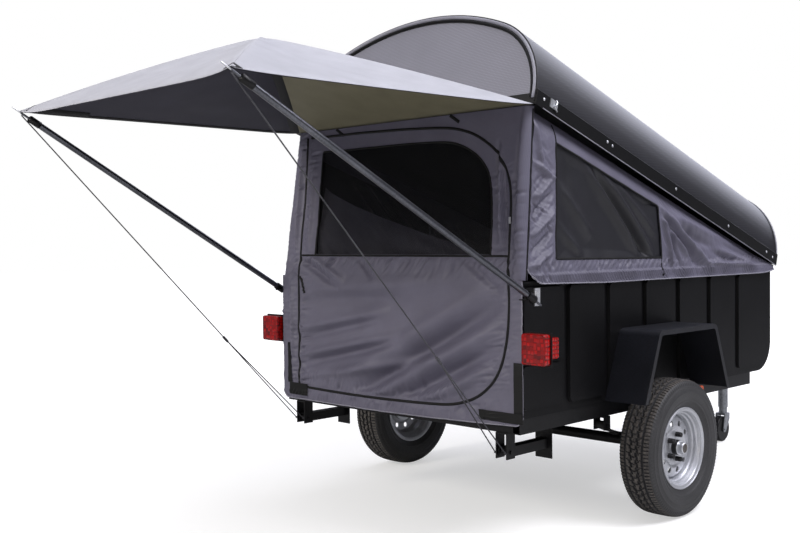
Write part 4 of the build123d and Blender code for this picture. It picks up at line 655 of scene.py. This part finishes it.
def folds_at(a, b, folds):
    """Height of the cloth from a table of folds, each fading at both ends."""
    height = 0.0
    for a0, b0, a1, b1, width, depth in folds:
        run_a, run_b = a1 - a0, b1 - b0
        length = math.hypot(run_a, run_b)
        share = ((a - a0) * run_a + (b - b0) * run_b) / length ** 2
        if not -0.1 < share < 1.1:
            continue
        off = ((a - a0) * run_b - (b - b0) * run_a) / length
        fade = max(0.0, 1 - abs(2 * share - 1) ** 3 / 1.73)
        height += depth * fade * math.exp(-(off / width) ** 2)
    return height


def ripple(a, b, size, seed):
    """Smooth random height between -1 and 1 over cloth of the given ripple size."""
    return noise.noise(Vector((a / size, b / size, seed)))


def streaks(a, b, lean, length, width, seed):
    """Random creases with sharp ridges 0.35 high, drawn out along a line that climbs by lean degrees."""
    c, s = math.cos(math.radians(lean)), math.sin(math.radians(lean))
    value = noise.noise(Vector(((a * c + b * s) / length, (b * c - a * s) / width, seed)))
    return 0.5 * value + 0.35 - 1.3 * abs(value)


def spline(p0, p1, p2, p3, t):
    """A smooth curve's value at a share of the way from p1 to p2."""
    return 0.5 * (2 * p1 + (p2 - p0) * t + (2 * p0 - 5 * p1 + 4 * p2 - p3) * t ** 2
                  + (3 * p1 - p0 - 3 * p2 + p3) * t ** 3)


def smooth_path(corners, steps=8):
    """A smooth line through corner points of the cloth."""
    line = []
    ends = corners[:1] + corners + corners[-1:]
    for four in zip(ends, ends[1:], ends[2:], ends[3:]):
        for k in range(steps):
            line.append(tuple(spline(*values, k / steps) for values in zip(*four)))
    return line + corners[-1:]


def straight(start, end, steps):
    """Evenly spaced places from start to end."""
    return [tuple(p + (q - p) * k / steps for p, q in zip(start, end)) for k in range(steps + 1)]


def tape_on(line, surface, profile):
    """A strip sewn on cloth along a line: profile gives pairs of distance across and height."""
    points = []
    for i, (a, b) in enumerate(line):
        a0, b0 = line[max(i - 1, 0)]
        a1, b1 = line[min(i + 1, len(line) - 1)]
        length = math.hypot(a1 - a0, b1 - b0)
        left = (-(b1 - b0) / length, (a1 - a0) / length)
        points += [surface(a + left[0] * off, b + left[1] * off, height) for off, height in profile]
    return points, [(a, d, c, b) for a, b, c, d in grid_faces(len(profile), len(line))]


BINDING = [(-0.0045, 0.0), (-0.004, 0.002), (0.004, 0.002), (0.0045, 0.0)]
PIPING = [(-0.0028, 0.0), (-0.002, 0.0025), (0.0, 0.0034), (0.002, 0.0025), (0.0028, 0.0)]
RIM_Z = 1.07
SIDE_X = 0.7375
SIDE_LEAN = math.tan(math.radians(2.2))
HEM_Z = 1.050
HEM_SEAM_Z = 1.104
EDGE_SLOPE = -0.3230
EDGE_FRONT = (1.2612, 1.0829)
WALL_REAR = ((-0.923, 1.09), (-0.8388, 1.7644))
WALL_FRONT_Y = 1.244
SIDE_WINDOW = ((-0.728, 1.156), (0.086, 1.147), (0.064, 1.384), (-0.698, 1.626))
WINDOW_REAR_LEAN, WINDOW_FRONT_LEAN = 0.064, 0.093
RAIL_HOLD, TUCK_DEPTH, TUCK_REACH = 0.07, 0.034, 0.11
SIDE_FOLD_GAIN, GATHER_WIDTH, PLEAT_WIDTH = 2.0, 0.036, 0.0185
# columns: start and end of the fold along and up the wall, its half width, its height
SIDE_FOLDS = [
    (0.09, 1.37, 0.52, 1.10, 0.020, 0.014), (0.09, 1.33, 0.33, 1.15, 0.016, 0.012),
    (0.10, 1.34, 0.42, 1.11, 0.018, -0.012), (0.11, 1.31, 0.17, 1.10, 0.011, 0.010),
    (0.14, 1.32, 0.25, 1.10, 0.011, -0.009), (0.20, 1.34, 0.76, 1.22, 0.026, 0.009),
    (0.26, 1.28, 0.74, 1.12, 0.022, -0.011), (0.50, 1.115, 0.93, 1.102, 0.012, 0.010),
    (0.44, 1.20, 0.95, 1.115, 0.018, 0.008), (0.70, 1.20, 1.10, 1.10, 0.016, -0.007),
    (-0.88, 1.25, -0.73, 1.36, 0.014, 0.011), (-0.89, 1.18, -0.74, 1.27, 0.012, -0.009),
    (-0.86, 1.40, -0.72, 1.50, 0.014, 0.011), (-0.87, 1.33, -0.73, 1.43, 0.011, -0.010),
    (-0.85, 1.54, -0.72, 1.47, 0.012, 0.009), (-0.84, 1.72, -0.80, 1.52, 0.016, 0.008),
    (-0.90, 1.12, -0.76, 1.19, 0.012, 0.010),
]
NET_FOLDS = [
    (-0.48, 1.54, -0.10, 1.17, 0.028, 0.011), (-0.36, 1.51, 0.02, 1.16, 0.026, 0.011),
    (-0.43, 1.53, -0.03, 1.15, 0.022, -0.010), (-0.70, 1.47, -0.48, 1.26, 0.028, 0.008),
    (-0.72, 1.31, -0.55, 1.17, 0.024, 0.008), (-0.25, 1.47, 0.05, 1.25, 0.022, 0.007),
]


def edge_z(y):
    """Height of the open lid's rail above a place along the trailer."""
    return EDGE_FRONT[1] + (y - EDGE_FRONT[0]) * EDGE_SLOPE


def side_rear_y(z):
    """The wall's rear seam at a height."""
    (y0, z0), (y1, z1) = WALL_REAR
    return y0 + (y1 - y0) * (z - z0) / (z1 - z0)


def side_cloth(y, z):
    """How far the side wall's cloth stands out from its plane."""
    top = edge_z(y)
    slack = clamp((top - z) / RAIL_HOLD)
    (rear_y, rear_z), (front_y, front_z) = SIDE_WINDOW[:2]
    behind = rear_y + WINDOW_REAR_LEAN * (z - rear_z) - y
    ahead = y - front_y + WINDOW_FRONT_LEAN * (z - front_z)
    # no fold crosses the window's edges, and the cloth turns in under the rail
    free = clamp(max(behind / 0.045, ahead / 0.03)) * slack
    height = SIDE_FOLD_GAIN * folds_at(y, z, SIDE_FOLDS) * free + 0.004 * ripple(y, z, 0.10, 1.3) * slack
    height -= TUCK_DEPTH * max(0.0, 1 - (top - z) / TUCK_REACH) ** 2
    if behind > 0:
        # the crumpled strip: short creases that climb to the window or to the corner seam
        strip = clamp((y - side_rear_y(z)) / 0.025) * (0.3 + 0.7 * math.exp(-((z - 1.34) / 0.20) ** 2))
        turn_at = clamp(0.5 + 1.1 * ripple(y, z, 0.09, 8.1))
        climb = streaks(y, z, 35, 0.080, 0.019, 7.7) * turn_at
        drop = streaks(y, z, -42, 0.070, 0.020, 9.4) * (1 - turn_at)
        height += 0.018 * strip * (climb + drop) * free
    elif ahead > 0:
        nearness = 0.25 + 0.75 * math.exp(-ahead / 0.12)
        height += 0.012 * nearness * streaks(y, z, -62, 0.20, 0.034, 4.2) * free
    # gathers above the hem's seam, narrow slanting pleats below it
    if z < 1.16:
        above = max(0.0, 1 - abs(z - 1.126) / 0.026)
        gather = math.sin(2 * math.pi * ((y - 0.5 * z) / GATHER_WIDTH + 0.9 * ripple(y, z, 0.10, 5.1)))
        height += above * (0.0035 * gather + 0.010 * streaks(y, z, 62, 0.06, 0.024, 2.2))
        below = clamp((HEM_SEAM_Z - z) / 0.012)
        pleat = math.sin(2 * math.pi * ((y + 0.55 * z) / PLEAT_WIDTH + 0.8 * ripple(y, z, 0.09, 3.3)))
        height += below * (0.007 + 0.0060 * pleat * (0.7 + 0.6 * ripple(y, 0, 0.11, 6.2)))
        height += 0.003 * math.exp(-((z - HEM_Z) / 0.008) ** 2)
    return height * min(1.0, max(top - HEM_Z, 0.02) / 0.10)


def on_side(side):
    """The side wall's outer face as a function of place along, height and distance outwards."""
    def surface(y, z, out=0.0):
        x = SIDE_X - SIDE_LEAN * (z - RIM_Z) + side_cloth(y, z) + out
        return Vector((side * x, y, z))
    return surface


def in_quad(a, b, quad):
    """Whether a place lies inside a four-cornered outline."""
    for (a0, b0), (a1, b1) in zip(quad, quad[1:] + quad[:1]):
        if (a1 - a0) * (b - b0) - (b1 - b0) * (a - a0) < 0:
            return False
    return True


SIDE_COLUMNS, SIDE_ROWS = 560, 130


def side_place(u, v):
    """Place along and up the side wall for shares of its grid."""
    y_low = WALL_REAR[0][0] + (WALL_FRONT_Y - WALL_REAR[0][0]) * u
    y_high = WALL_REAR[1][0] + (WALL_FRONT_Y - WALL_REAR[1][0]) * u
    # the hem rounds up into the rear seam, hangs a little in the middle and lifts at the front
    low = HEM_Z + 0.058 * max(0.0, 1 - u / 0.045) ** 2.2 + 0.012 * max(0.0, 1 - u / 0.25)
    low += 0.014 * max(0.0, (u - 0.9) / 0.1) ** 2
    y = y_low + (y_high - y_low) * v
    high = edge_z(y) - 0.001
    return y, low + (high - low) * v ** 1.3


NET_GROW = 0.010
for side_name, side in (("left", -1), ("right", 1)):
    surface = on_side(side)

    def wall_point(u, v):
        y, z = side_place(u, v)
        return surface(y, z), (y, z)

    def outside_window(u, v):
        return not in_quad(*side_place(u, v), SIDE_WINDOW)

    def net_point(u, v):
        (y0, z0), (y1, z1), (y2, z2), (y3, z3) = SIDE_WINDOW
        y_low, z_low = y0 - NET_GROW + (y1 - y0 + 2 * NET_GROW) * u, z0 - NET_GROW + (z1 - z0) * u
        y_high, z_high = y3 - NET_GROW + (y2 - y3 + 2 * NET_GROW) * u, z3 + NET_GROW + (z2 - z3) * u
        y, z = y_low + (y_high - y_low) * v, z_low + (z_high - z_low) * v
        inner = min(1.0, 8 * min(u, 1 - u, v, 1 - v))
        return surface(y, z, -0.003 + (2.6 * folds_at(y, z, NET_FOLDS) - 0.012) * inner), (y, z)

    wall = lay_sheet(f"side_cloth_{side_name}", SIDE_COLUMNS, SIDE_ROWS, wall_point, wall_cloth,
                     outside_window)
    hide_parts(f"side_wall_{side_name}")
    net = lay_sheet(f"side_net_{side_name}", 110, 70, net_point, side_mesh)
    edges = zip(SIDE_WINDOW, SIDE_WINDOW[1:] + SIDE_WINDOW[:1])
    trims = [tape_on(straight(start, end, 60), surface, BINDING) for start, end in edges]
    # the seam in front of the window runs down to the hem, the one behind it up to the rail
    trims.append(tape_on(straight(SIDE_WINDOW[1], (0.078, 1.056), 20), surface, PIPING))
    trims.append(tape_on(straight(SIDE_WINDOW[3], (-0.695, 1.700), 16), surface, PIPING))
    seams = make_piece(f"side_binding_{side_name}", trims, black_tape, "chassis")
    hem_line = [side_place(k / 400, 0.0) for k in range(401)]
    hem_tape = tape_on(hem_line, surface, PIPING)
    hem = make_piece(f"side_piping_{side_name}", [hem_tape], piping_vinyl, "chassis")
    for piece in (wall, net, seams, hem):
        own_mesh(piece)
    if side_name == "right":
        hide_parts("side_windows")


# The rear wall: the same polyester, hanging over the tub's open end and leaning in above the rim to the lid's
# rear edge. A door is cut out by a long zip; its upper half is a mesh window with a flap folded down inside.
REAR_Y = -0.951
BEND_Z = 1.075
REAR_TOP = (-0.8668, 1.7644)
REAR_LEAN = (REAR_TOP[0] - REAR_Y) / (REAR_TOP[1] - BEND_Z)
REAR_HALF = 0.737
CORNER_ROUND = 0.028
ZIP = [(-0.006, 0.0), (-0.0055, 0.0016), (-0.003, 0.0018), (-0.002, 0.004), (0.002, 0.004), (0.003, 0.0018),
       (0.0055, 0.0016), (0.006, 0.0)]
STRAP = [(-0.007, 0.001), (-0.006, 0.003), (0.006, 0.003), (0.007, 0.001)]
# columns: start and end of the fold across and up the wall, its half width, its height
REAR_FOLDS = [
    (-0.24, 0.53, 0.56, 0.95, 0.034, -0.018), (-0.12, 0.53, 0.58, 0.87, 0.036, 0.017),
    (0.02, 0.53, 0.58, 0.79, 0.026, -0.014), (0.16, 0.53, 0.56, 0.71, 0.026, 0.012),
    (-0.32, 0.60, 0.48, 1.00, 0.040, 0.012), (-0.56, 0.60, 0.26, 0.73, 0.024, 0.010),
    (-0.58, 0.655, 0.05, 0.79, 0.022, -0.010), (-0.58, 0.70, 0.02, 0.82, 0.022, 0.009),
    (-0.59, 0.78, -0.10, 0.88, 0.022, -0.009), (-0.59, 0.83, -0.05, 0.92, 0.024, 0.008),
    (-0.50, 1.02, 0.30, 1.06, 0.034, 0.008), (-0.55, 0.96, 0.10, 0.98, 0.030, -0.007),
    (-0.61, 1.15, -0.35, 1.03, 0.016, -0.009), (-0.52, 1.16, -0.30, 1.06, 0.014, 0.008),
    (-0.22, 1.165, -0.10, 1.07, 0.012, -0.006), (0.42, 1.16, 0.62, 1.03, 0.016, -0.006),
    (0.585, 1.58, 0.615, 1.22, 0.010, 0.009), (0.61, 1.50, 0.645, 1.18, 0.009, -0.008),
    (0.565, 1.62, 0.59, 1.36, 0.009, -0.006), (0.69, 1.72, 0.70, 1.14, 0.014, 0.009),
    (0.672, 1.62, 0.68, 1.30, 0.009, -0.007), (-0.655, 1.66, -0.65, 1.20, 0.010, 0.008),
    (-0.56, 1.60, -0.56, 1.22, 0.014, 0.006), (-0.67, 1.02, -0.66, 0.60, 0.012, 0.006),
]
DOOR_LEFT_X, DOOR_RIGHT_X, SILL_Z, ZIP_END_Z = -0.617, 0.662, 1.170, 1.078
REAR_FOLD_GAIN, ZIP_GATHER, TAPE_HALF, STRIP_X, STRIP_TOP_Z = 2.3, 0.024, 0.007, 0.665, 1.04
# the door's zip: over the top, round the right corner, and down round into the foot
DOOR_LOW = [(0.664, ZIP_END_Z), (0.669, 1.00), (0.666, 0.93), (0.659, 0.86), (0.645, 0.795), (0.624, 0.728),
            (0.586, 0.666), (0.525, 0.614), (0.455, 0.579), (0.36, 0.555), (0.25, 0.546), (0.05, 0.539),
            (-0.15, 0.536), (-0.37, 0.537), (-0.56, 0.541)]
DOOR_HIGH = [(-0.60, 1.733), (-0.425, 1.733), (-0.218, 1.731), (0.06, 1.723), (0.266, 1.711), (0.378, 1.690),
             (0.464, 1.656), (0.549, 1.601), (0.599, 1.545), (0.637, 1.471), (0.652, 1.40), (0.656, 1.32),
             (0.656, 1.24), (0.659, 1.15), (0.664, ZIP_END_Z)]
ZIP_BESIDE = sorted((z, x) for x, z in DOOR_LOW[:8] + DOOR_HIGH[8:-1])
ZIP_BELOW = sorted(DOOR_LOW[7:])


def rear_low_z(x):
    """The rear wall's hem: it sags towards the left and is cut up at both corners."""
    lift = max(0.0, abs(x) - 0.70) / 0.037
    return 0.478 + 0.024 * max(0.0, (x + 0.1) / 0.82) ** 1.5 + 0.035 * lift ** 2


def beside_seam(distance):
    """Share of a gather at a distance from its seam: none on the seam, most at 16 mm, gone at some 120 mm."""
    return math.exp(-distance / 0.04) * (1 - math.exp(-(distance / 0.010) ** 2))


def rear_cloth(x, z):
    """How far the rear wall's cloth stands out from its plane."""
    height = REAR_FOLD_GAIN * folds_at(x, z, REAR_FOLDS) + 0.004 * ripple(x, z, 0.15, 11.0)
    # gathers beside the zips and below the sill seam; under the tapes the cloth lies flat
    beside = max(0.0, abs(x - DOOR_LEFT_X) - TAPE_HALF)
    height += ZIP_GATHER * beside_seam(beside) * streaks(x, z, 8, 0.09, 0.022, 17.0)
    beside = max(0.0, abs(x - between_points(ZIP_BESIDE, z)) - TAPE_HALF)
    gather = beside_seam(beside) * streaks(x, z, 8, 0.09, 0.022, 19.0)
    height += ZIP_GATHER * gather * clamp((1.56 - z) / 0.08)
    beside = max(0.0, abs(z - between_points(ZIP_BELOW, x)) - 0.008)
    height *= 1 - math.exp(-(beside / 0.02) ** 2)
    height += 0.020 * beside_seam(beside) * streaks(x, z, 65, 0.09, 0.024, 21.0) * (1 if x < 0.45 else 0.2)
    if SILL_Z - 0.16 < z < SILL_Z:
        beside = max(0.0, SILL_Z - z - 0.005)
        height += 0.030 * beside_seam(beside) * streaks(x, z, 58, 0.12, 0.030, 31.0)
    # the strips outside the zips lie on the lamp plates and buckle in short level creases
    strip = clamp((abs(x) - STRIP_X) / 0.02) * clamp((STRIP_TOP_Z - z) / 0.05)
    if strip > 0:
        buckle = height + 0.016 * streaks(x, z, 4, 0.14, 0.026, 41.0) * math.exp(-((z - 0.86) / 0.16) ** 2)
        height += (0.6 * abs(buckle) - height) * strip
    if z > BEND_Z and x > DOOR_RIGHT_X:
        height += 0.004 * ripple(x, z * 0.2, 0.03, 45.0)
    return height


def on_rear(x, z, out=0.0):
    """The rear wall's outer face."""
    proud = rear_cloth(x, z) + out
    y = REAR_Y + max(0.0, z - BEND_Z) * REAR_LEAN
    return Vector((x, y - proud, z + proud * REAR_LEAN * (z > BEND_Z)))


def lower_point(u, v):
    x = -REAR_HALF + 2 * REAR_HALF * u
    low = rear_low_z(x)
    z = low + (BEND_Z - low) * v
    return on_rear(x, z), (x, z)


def corner_half(z):
    """Half width of the wall's flat face at a height above the rim."""
    return SIDE_X - SIDE_LEAN * (z - RIM_Z) - CORNER_ROUND


CORNER_SHARE = 0.03


def upper_place(u, v):
    """Half width of the flat face, then the place across and up it, for shares of its grid."""
    z = BEND_Z + (REAR_TOP[1] - BEND_Z) * v
    half = corner_half(z)
    return half, -half + 2 * half * (u - CORNER_SHARE) / (1 - 2 * CORNER_SHARE), z


def upper_point(u, v):
    """Flat face, then a rounded corner to the side wall's rear seam."""
    half, x, z = upper_place(u, v)
    if CORNER_SHARE <= u <= 1 - CORNER_SHARE:
        return on_rear(x, z), (x, z)
    side = -1 if u < 0.5 else 1
    past = (CORNER_SHARE - min(u, 1 - u)) / CORNER_SHARE
    flat = on_rear(side * half, z)
    angle = past * math.pi / 2
    x = half + CORNER_ROUND * math.sin(angle)
    y = flat.y + (side_rear_y(z) + 0.003 - flat.y) * (1 - math.cos(angle))
    return Vector((side * x, y, z)), (side * (half + 0.044 * past), z)


REAR_WINDOW = straight((-0.505, 1.174), (-0.507, 1.655), 24)
REAR_WINDOW += smooth_path([(-0.500, 1.661), (-0.295, 1.659), (-0.068, 1.659), (0.119, 1.657), (0.272, 1.650),
                            (0.359, 1.632), (0.447, 1.590), (0.504, 1.538), (0.536, 1.476), (0.556, 1.379),
                            (0.563, 1.274), (0.566, 1.174)])


def in_window(x, z):
    """Whether a place lies inside the rear window's outline."""
    inside = False
    last_x, last_z = REAR_WINDOW[-1]
    for next_x, next_z in REAR_WINDOW:
        if (next_z > z) != (last_z > z):
            if x < (last_x - next_x) * (z - next_z) / (last_z - next_z) + next_x:
                inside = not inside
        last_x, last_z = next_x, next_z
    return inside


def outside_rear_window(u, v):
    return not in_window(*upper_place(u, v)[1:])


NET_LEFT_X, NET_WIDE, NET_LOW_Z, NET_TALL = -0.525, 1.11, 1.160, 0.515
FLAP_LEFT_X, FLAP_WIDE, FLAP_LOW_Z = -0.52, 1.07, 1.155


def net_place(u, v):
    """Place across and up the rear window's mesh for shares of its grid."""
    return NET_LEFT_X + NET_WIDE * u, NET_LOW_Z + NET_TALL * v


def rear_net_point(u, v):
    x, z = net_place(u, v)
    slack = math.sin(math.pi * u) * math.sin(math.pi * v)
    wave = 0.003 * math.sin(9 * (u + 0.7 * v)) * slack
    return on_rear(x, z, -0.006 - 0.004 * slack + wave), (x, z)


def near_window(u, v):
    x, z = net_place(u, v)
    return any(in_window(x + dx, z + dz) for dx in (-0.012, 0.012) for dz in (-0.012, 0.012))


def flap_point(u, v):
    """The window's cover let down inside: it hangs from the left edge to the sill's right end."""
    x = FLAP_LEFT_X + FLAP_WIDE * u
    high = 1.50 - 0.33 * u ** 0.8
    z = FLAP_LOW_Z + (high - FLAP_LOW_Z) * v
    wave = 0.010 * math.sin(9 * u + 5 * v) + 0.016 * streaks(x, z, -55, 0.30, 0.06, 51.0)
    return on_rear(x, z, -0.034 + wave), (x, z)


# rear mesh: darker netting that lets the unlit cabin show through, drawn at 5 mm like the side one
rear_mesh = woven("fine_black_insect_mesh", "#060608", "#111115", 0.005,
                  {"Roughness": 0.6, "Specular IOR Level": 0.25, "Alpha": 0.6})
lower_wall = lay_sheet("rear_cloth_lower", 300, 130, lower_point, wall_cloth)
upper_wall = lay_sheet("rear_cloth_upper", 300, 130, upper_point, wall_cloth,
                       outside_rear_window)
rear_net = lay_sheet("rear_net", 150, 70, rear_net_point, rear_mesh, near_window)
rear_flap = lay_sheet("rear_window_cover", 90, 36, flap_point, wall_cloth)
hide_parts("rear_wall")
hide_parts("rear_window")

# the zips, with the window and sill bindings; the left zip ends in a tail
left_zip = [(-0.628, 1.735), (-0.616, 1.50), (-0.614, 1.33), (DOOR_LEFT_X, ZIP_END_Z)]
low_tapes = ((smooth_path(DOOR_LOW, 10), ZIP), (straight(left_zip[-1], (-0.618, 0.55), 90), ZIP),
             (smooth_path([(-0.603, 1.070), (-0.588, 1.04), (-0.577, 0.99)], 6), STRAP))
high_tapes = ((smooth_path(DOOR_HIGH, 10), ZIP), (smooth_path(left_zip, 24), ZIP),
              (straight((DOOR_LEFT_X, SILL_Z), (0.658, SILL_Z), 160), BINDING), (REAR_WINDOW, BINDING))
low_zips = [tape_on(line, on_rear, profile) for line, profile in low_tapes]
high_zips = [tape_on(line, on_rear, profile) for line, profile in high_tapes]
# corner piping where the rear wall meets the side walls, and straps under the awning
for side in (-1, 1):
    corner_line = []
    for k in range(41):
        z = BEND_Z + (REAR_TOP[1] - 0.012 - BEND_Z) * k / 40
        corner_line.append((side * (corner_half(z) + CORNER_ROUND - 0.001), side_rear_y(z) - 0.003, z))
    high_zips.append(swept(corner_line, 0.004, 6))
for strap_x in (-0.393, 0.327):
    high_zips.append(tape_on(straight((strap_x - 0.035, 1.762), (strap_x + 0.02, 1.728), 6), on_rear, STRAP))
zip_low = make_piece("door_zip_lower", low_zips, black_tape, "chassis")
zip_high = make_piece("door_zip_upper", high_zips, black_tape, "chassis")
pull_at, pull_half = on_rear(0.657, 1.311, 0.006), Vector((0.004, 0.003, 0.013))
pull_tab = slab(pull_at - pull_half, pull_at + pull_half, 0.001)
zip_pull = make_piece("zip_pull", [pull_tab], zinc_plate, "chassis", smooth=False)

# hook-and-loop patches at the lower corners, and the hem's piping
patches = []
for x0, x1, z0, z1 in ((0.512, 0.737, 0.512, 0.552), (0.692, 0.737, 0.552, 0.752),
                       (-0.69, -0.557, 0.500, 0.556), (-0.70, -0.668, 0.556, 0.748)):
    middle = (z0 + z1) / 2
    half = (z1 - z0) / 2
    profile = [(-half, 0.0)] + [(half * (k / 10 - 1), 0.004) for k in range(21)] + [(half, 0.0)]
    patches.append(tape_on(straight((x0, middle), (x1, middle), 30), on_rear, profile))
patch = make_piece("hook_and_loop_patches", patches, black_tape, "chassis")
hem_run = [(x, rear_low_z(x) + 0.003) for x in (-REAR_HALF + 2 * REAR_HALF * k / 160 for k in range(161))]
corner_run = straight((REAR_HALF - 0.003, 0.55), (REAR_HALF - 0.003, RIM_Z), 60)
hem_parts = [tape_on(run, on_rear, PIPING) for run in (hem_run, corner_run)]
rear_hem = make_piece("rear_hem_piping", hem_parts, piping_vinyl, "chassis")
for piece in (upper_wall, rear_net, rear_flap, zip_high, zip_pull):
    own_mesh(piece)


# The awning: four panels of silver coated polyester sewn along hips to a blunt peak, dark inside; under the
# panel next to the trailer the lining is painted tan, painted light shining through the cloth. Webbing backs
# the hips; the far hem hangs as a short valance.
NEAR = Vector((0.728, -0.8678, 1.7689))
FAR = Vector((0.693, -2.2925, 1.757))
PEAK = Vector((0.0, -1.6295, 2.028))
CANOPY_STEPS = 80
CANOPY_THICK = 0.0022
SIDE_HOLLOW, SIDE_VALANCE, FAR_VALANCE, PEAK_ROUND = 0.020, 0.006, 0.018, 0.04
# silver coating: pale grey with a cool cast and faint clouds; threads of all awning cloth drawn at 6 mm
silver_cloth = woven("silver_coated_polyester", "#94959b", "#bbbcc3", 0.006, {"Roughness": 0.5})
# linings: matt, dark violet-grey under three panels; under the near one a tan that is painted light shining
# through the cloth
navy_lining = woven("dark_polyester_lining", "#201f2a", "#302f3d", 0.006, {"Roughness": 0.7})
lining_painted_with_transmitted_light = woven("lining_with_painted_transmitted_light", "#58543f", "#7a765f", 0.006, {"Roughness": 0.7})


def canopy_at(u, v, out=0.0):
    """A place on the canopy: u across from -1 to 1, v along from the far hem, -1, to the near hem, 1."""
    m = max(abs(u), abs(v), 1e-6)
    n = min(abs(u), abs(v))
    between = 1 - (n / m) ** 2
    across_panel = abs(v) >= abs(u)
    sideways = 0.0 if across_panel else SIDE_HOLLOW
    pull = 1 - sideways * between * m * m
    hem = (FAR_VALANCE if v < 0 else 0.0) if across_panel else SIDE_VALANCE
    u, v = (u, v) if across_panel else (u * pull, v)
    along = (v + 1) / 2
    x = u * (FAR.x + (NEAR.x - FAR.x) * along)
    middle_y = (FAR.y + NEAR.y) / 2
    y = FAR.y + (NEAR.y - FAR.y) * along + (PEAK.y - middle_y) * (1 - m)
    base = FAR.z + (NEAR.z - FAR.z) * along
    rounded = (math.hypot(m, PEAK_ROUND) - PEAK_ROUND) / (math.hypot(1, PEAK_ROUND) - PEAK_ROUND)
    z = base + (PEAK.z - base) * (1 - rounded)
    z += (0.012 - 0.018 * between) * 4 * m * (1 - m)
    z += 0.003 * ripple(x * 1.5, y, 0.14, 61.0) * min(1.0, 6 * (1 - m)) * between
    z -= hem * (1 - (n / m) ** 10) * m ** 12
    return Vector((x, y, z + out))


row = CANOPY_STEPS + 1
top = [canopy_at(2 * i / CANOPY_STEPS - 1, 2 * j / CANOPY_STEPS - 1) for j in range(row) for i in range(row)]
count = len(top)
faces = grid_faces(row, row)
faces_below = [tuple(count + corner for corner in reversed(face)) for face in faces]
rim = list(range(row)) + [row * j + CANOPY_STEPS for j in range(1, row)]
rim += [row * CANOPY_STEPS + i for i in range(CANOPY_STEPS - 1, -1, -1)]
rim += [row * j for j in range(CANOPY_STEPS - 1, 0, -1)]
rim_faces = [(b, a, a + count, b + count) for a, b in zip(rim, rim[1:] + rim[:1])]
points = top + [point - Vector((0, 0, CANOPY_THICK)) for point in top]
canopy = make_piece("awning_cloth", [(points, faces + faces_below + rim_faces)], silver_cloth, None)
canopy.data.materials.append(navy_lining)
canopy.data.materials.append(lining_painted_with_transmitted_light)
middles = [2 * (i + 0.5) / CANOPY_STEPS - 1 for i in range(CANOPY_STEPS)]
# the near panel's underside takes the tan lining: painted light shining through the cloth
linings = [2 if v >= abs(u) else 1 for v in middles for u in middles]
canopy.data.polygons.foreach_set("material_index", [0] * len(faces) + linings + [1] * len(rim_faces))
give_metres(canopy, [(point.x, point.y) for point in top] * 2)
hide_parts("awning_canopy")


def canopy_strip(start, end, steps, width, height):
    """Webbing sewn on the canopy from start to end: above it for a positive height, else below."""
    root = 0.0 if height > 0 else -CANOPY_THICK
    profile = [(-width, root), (-width * 0.9, root + height), (width * 0.9, root + height), (width, root)]
    points, faces = tape_on(straight(start, end, steps), canopy_at, profile)
    return points, faces if height > 0 else [face[::-1] for face in faces]


WEB_THICK = 0.0015
webs = []
hems = [canopy_strip((-0.99, -0.985), (0.99, -0.985), 80, 0.012, -WEB_THICK)]
for side in (-1, 1):
    for end in (-1, 1):
        corner = (side * 0.975, end * 0.975)
        webs.append(canopy_strip((side * 0.02, end * 0.02), corner, 60, 0.030, -WEB_THICK))
    hems.append(canopy_strip((side * 0.985, -0.985), (side * 0.985, 0.965), 80, 0.012, -WEB_THICK))
    # the pole pocket: a doubled black patch at the far corner, over and under, and a stiff strip beside it
    hems.append(canopy_strip((side * 0.965, -0.93), (side * 0.965, -0.99), 6, 0.032, 0.002))
    hems.append(canopy_strip((side * 0.97, -0.99), (side * 0.97, -0.60), 30, 0.026, -0.003))
webbing = make_piece("awning_hip_webbing", webs, black_tape, None)
awning_hem = make_piece("awning_hem_binding", hems, black_tape, None)
for piece in (canopy, webbing, awning_hem):
    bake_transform(piece)


# Poles and stays: drawn aluminium tube with black end sleeves and steel tips through the canopy's corners,
# set in sockets on the tub's corners; thin braided cord runs from each head to the stabiliser bracket.

# anodised tube: mid grey metal with a soft grain, drawn at 6 mm
pole_metal = grained("clear_anodised_aluminium", "#47484d", "#6f7177", 0.006, 0.0001,
                     {"Roughness": 0.28, "Metallic": 1.0})
# braided cord: grey-black plaits, drawn at 6 mm
stay_braid = grained("braided_polyester_cord", "#1c1c20", "#4a4a50", 0.006, 0.0006, {"Roughness": 0.7})
dress(pole_metal, "awning_poles")
dress(stay_braid, "awning_stays")
POLE_FOOT, POLE_HEAD = Vector((0.772, -0.9245, 1.0)), Vector((0.693, -2.2465, 1.7272))
SLEEVE = [(-0.044, 0.0128), (-0.043, 0.0142), (0.004, 0.0142), (0.008, 0.011), (0.009, 0.005)]
SPIKE = [(0.0, 0.0030), (0.085, 0.0030), (0.089, 0.0015)]
sleeves = []
tips = []
for side in (-1, 1):
    mirror = Vector((side, 1, 1))
    head = mirror * POLE_HEAD
    along = head - mirror * POLE_FOOT
    sleeves.append(turned_part(SLEEVE, head, along, 20))
    tips.append(turned_part(SPIKE, head, along, 10))
make_piece("pole_end_sleeves", sleeves, black_abs, "chassis")
make_piece("pole_spikes", tips, zinc_plate, "chassis")
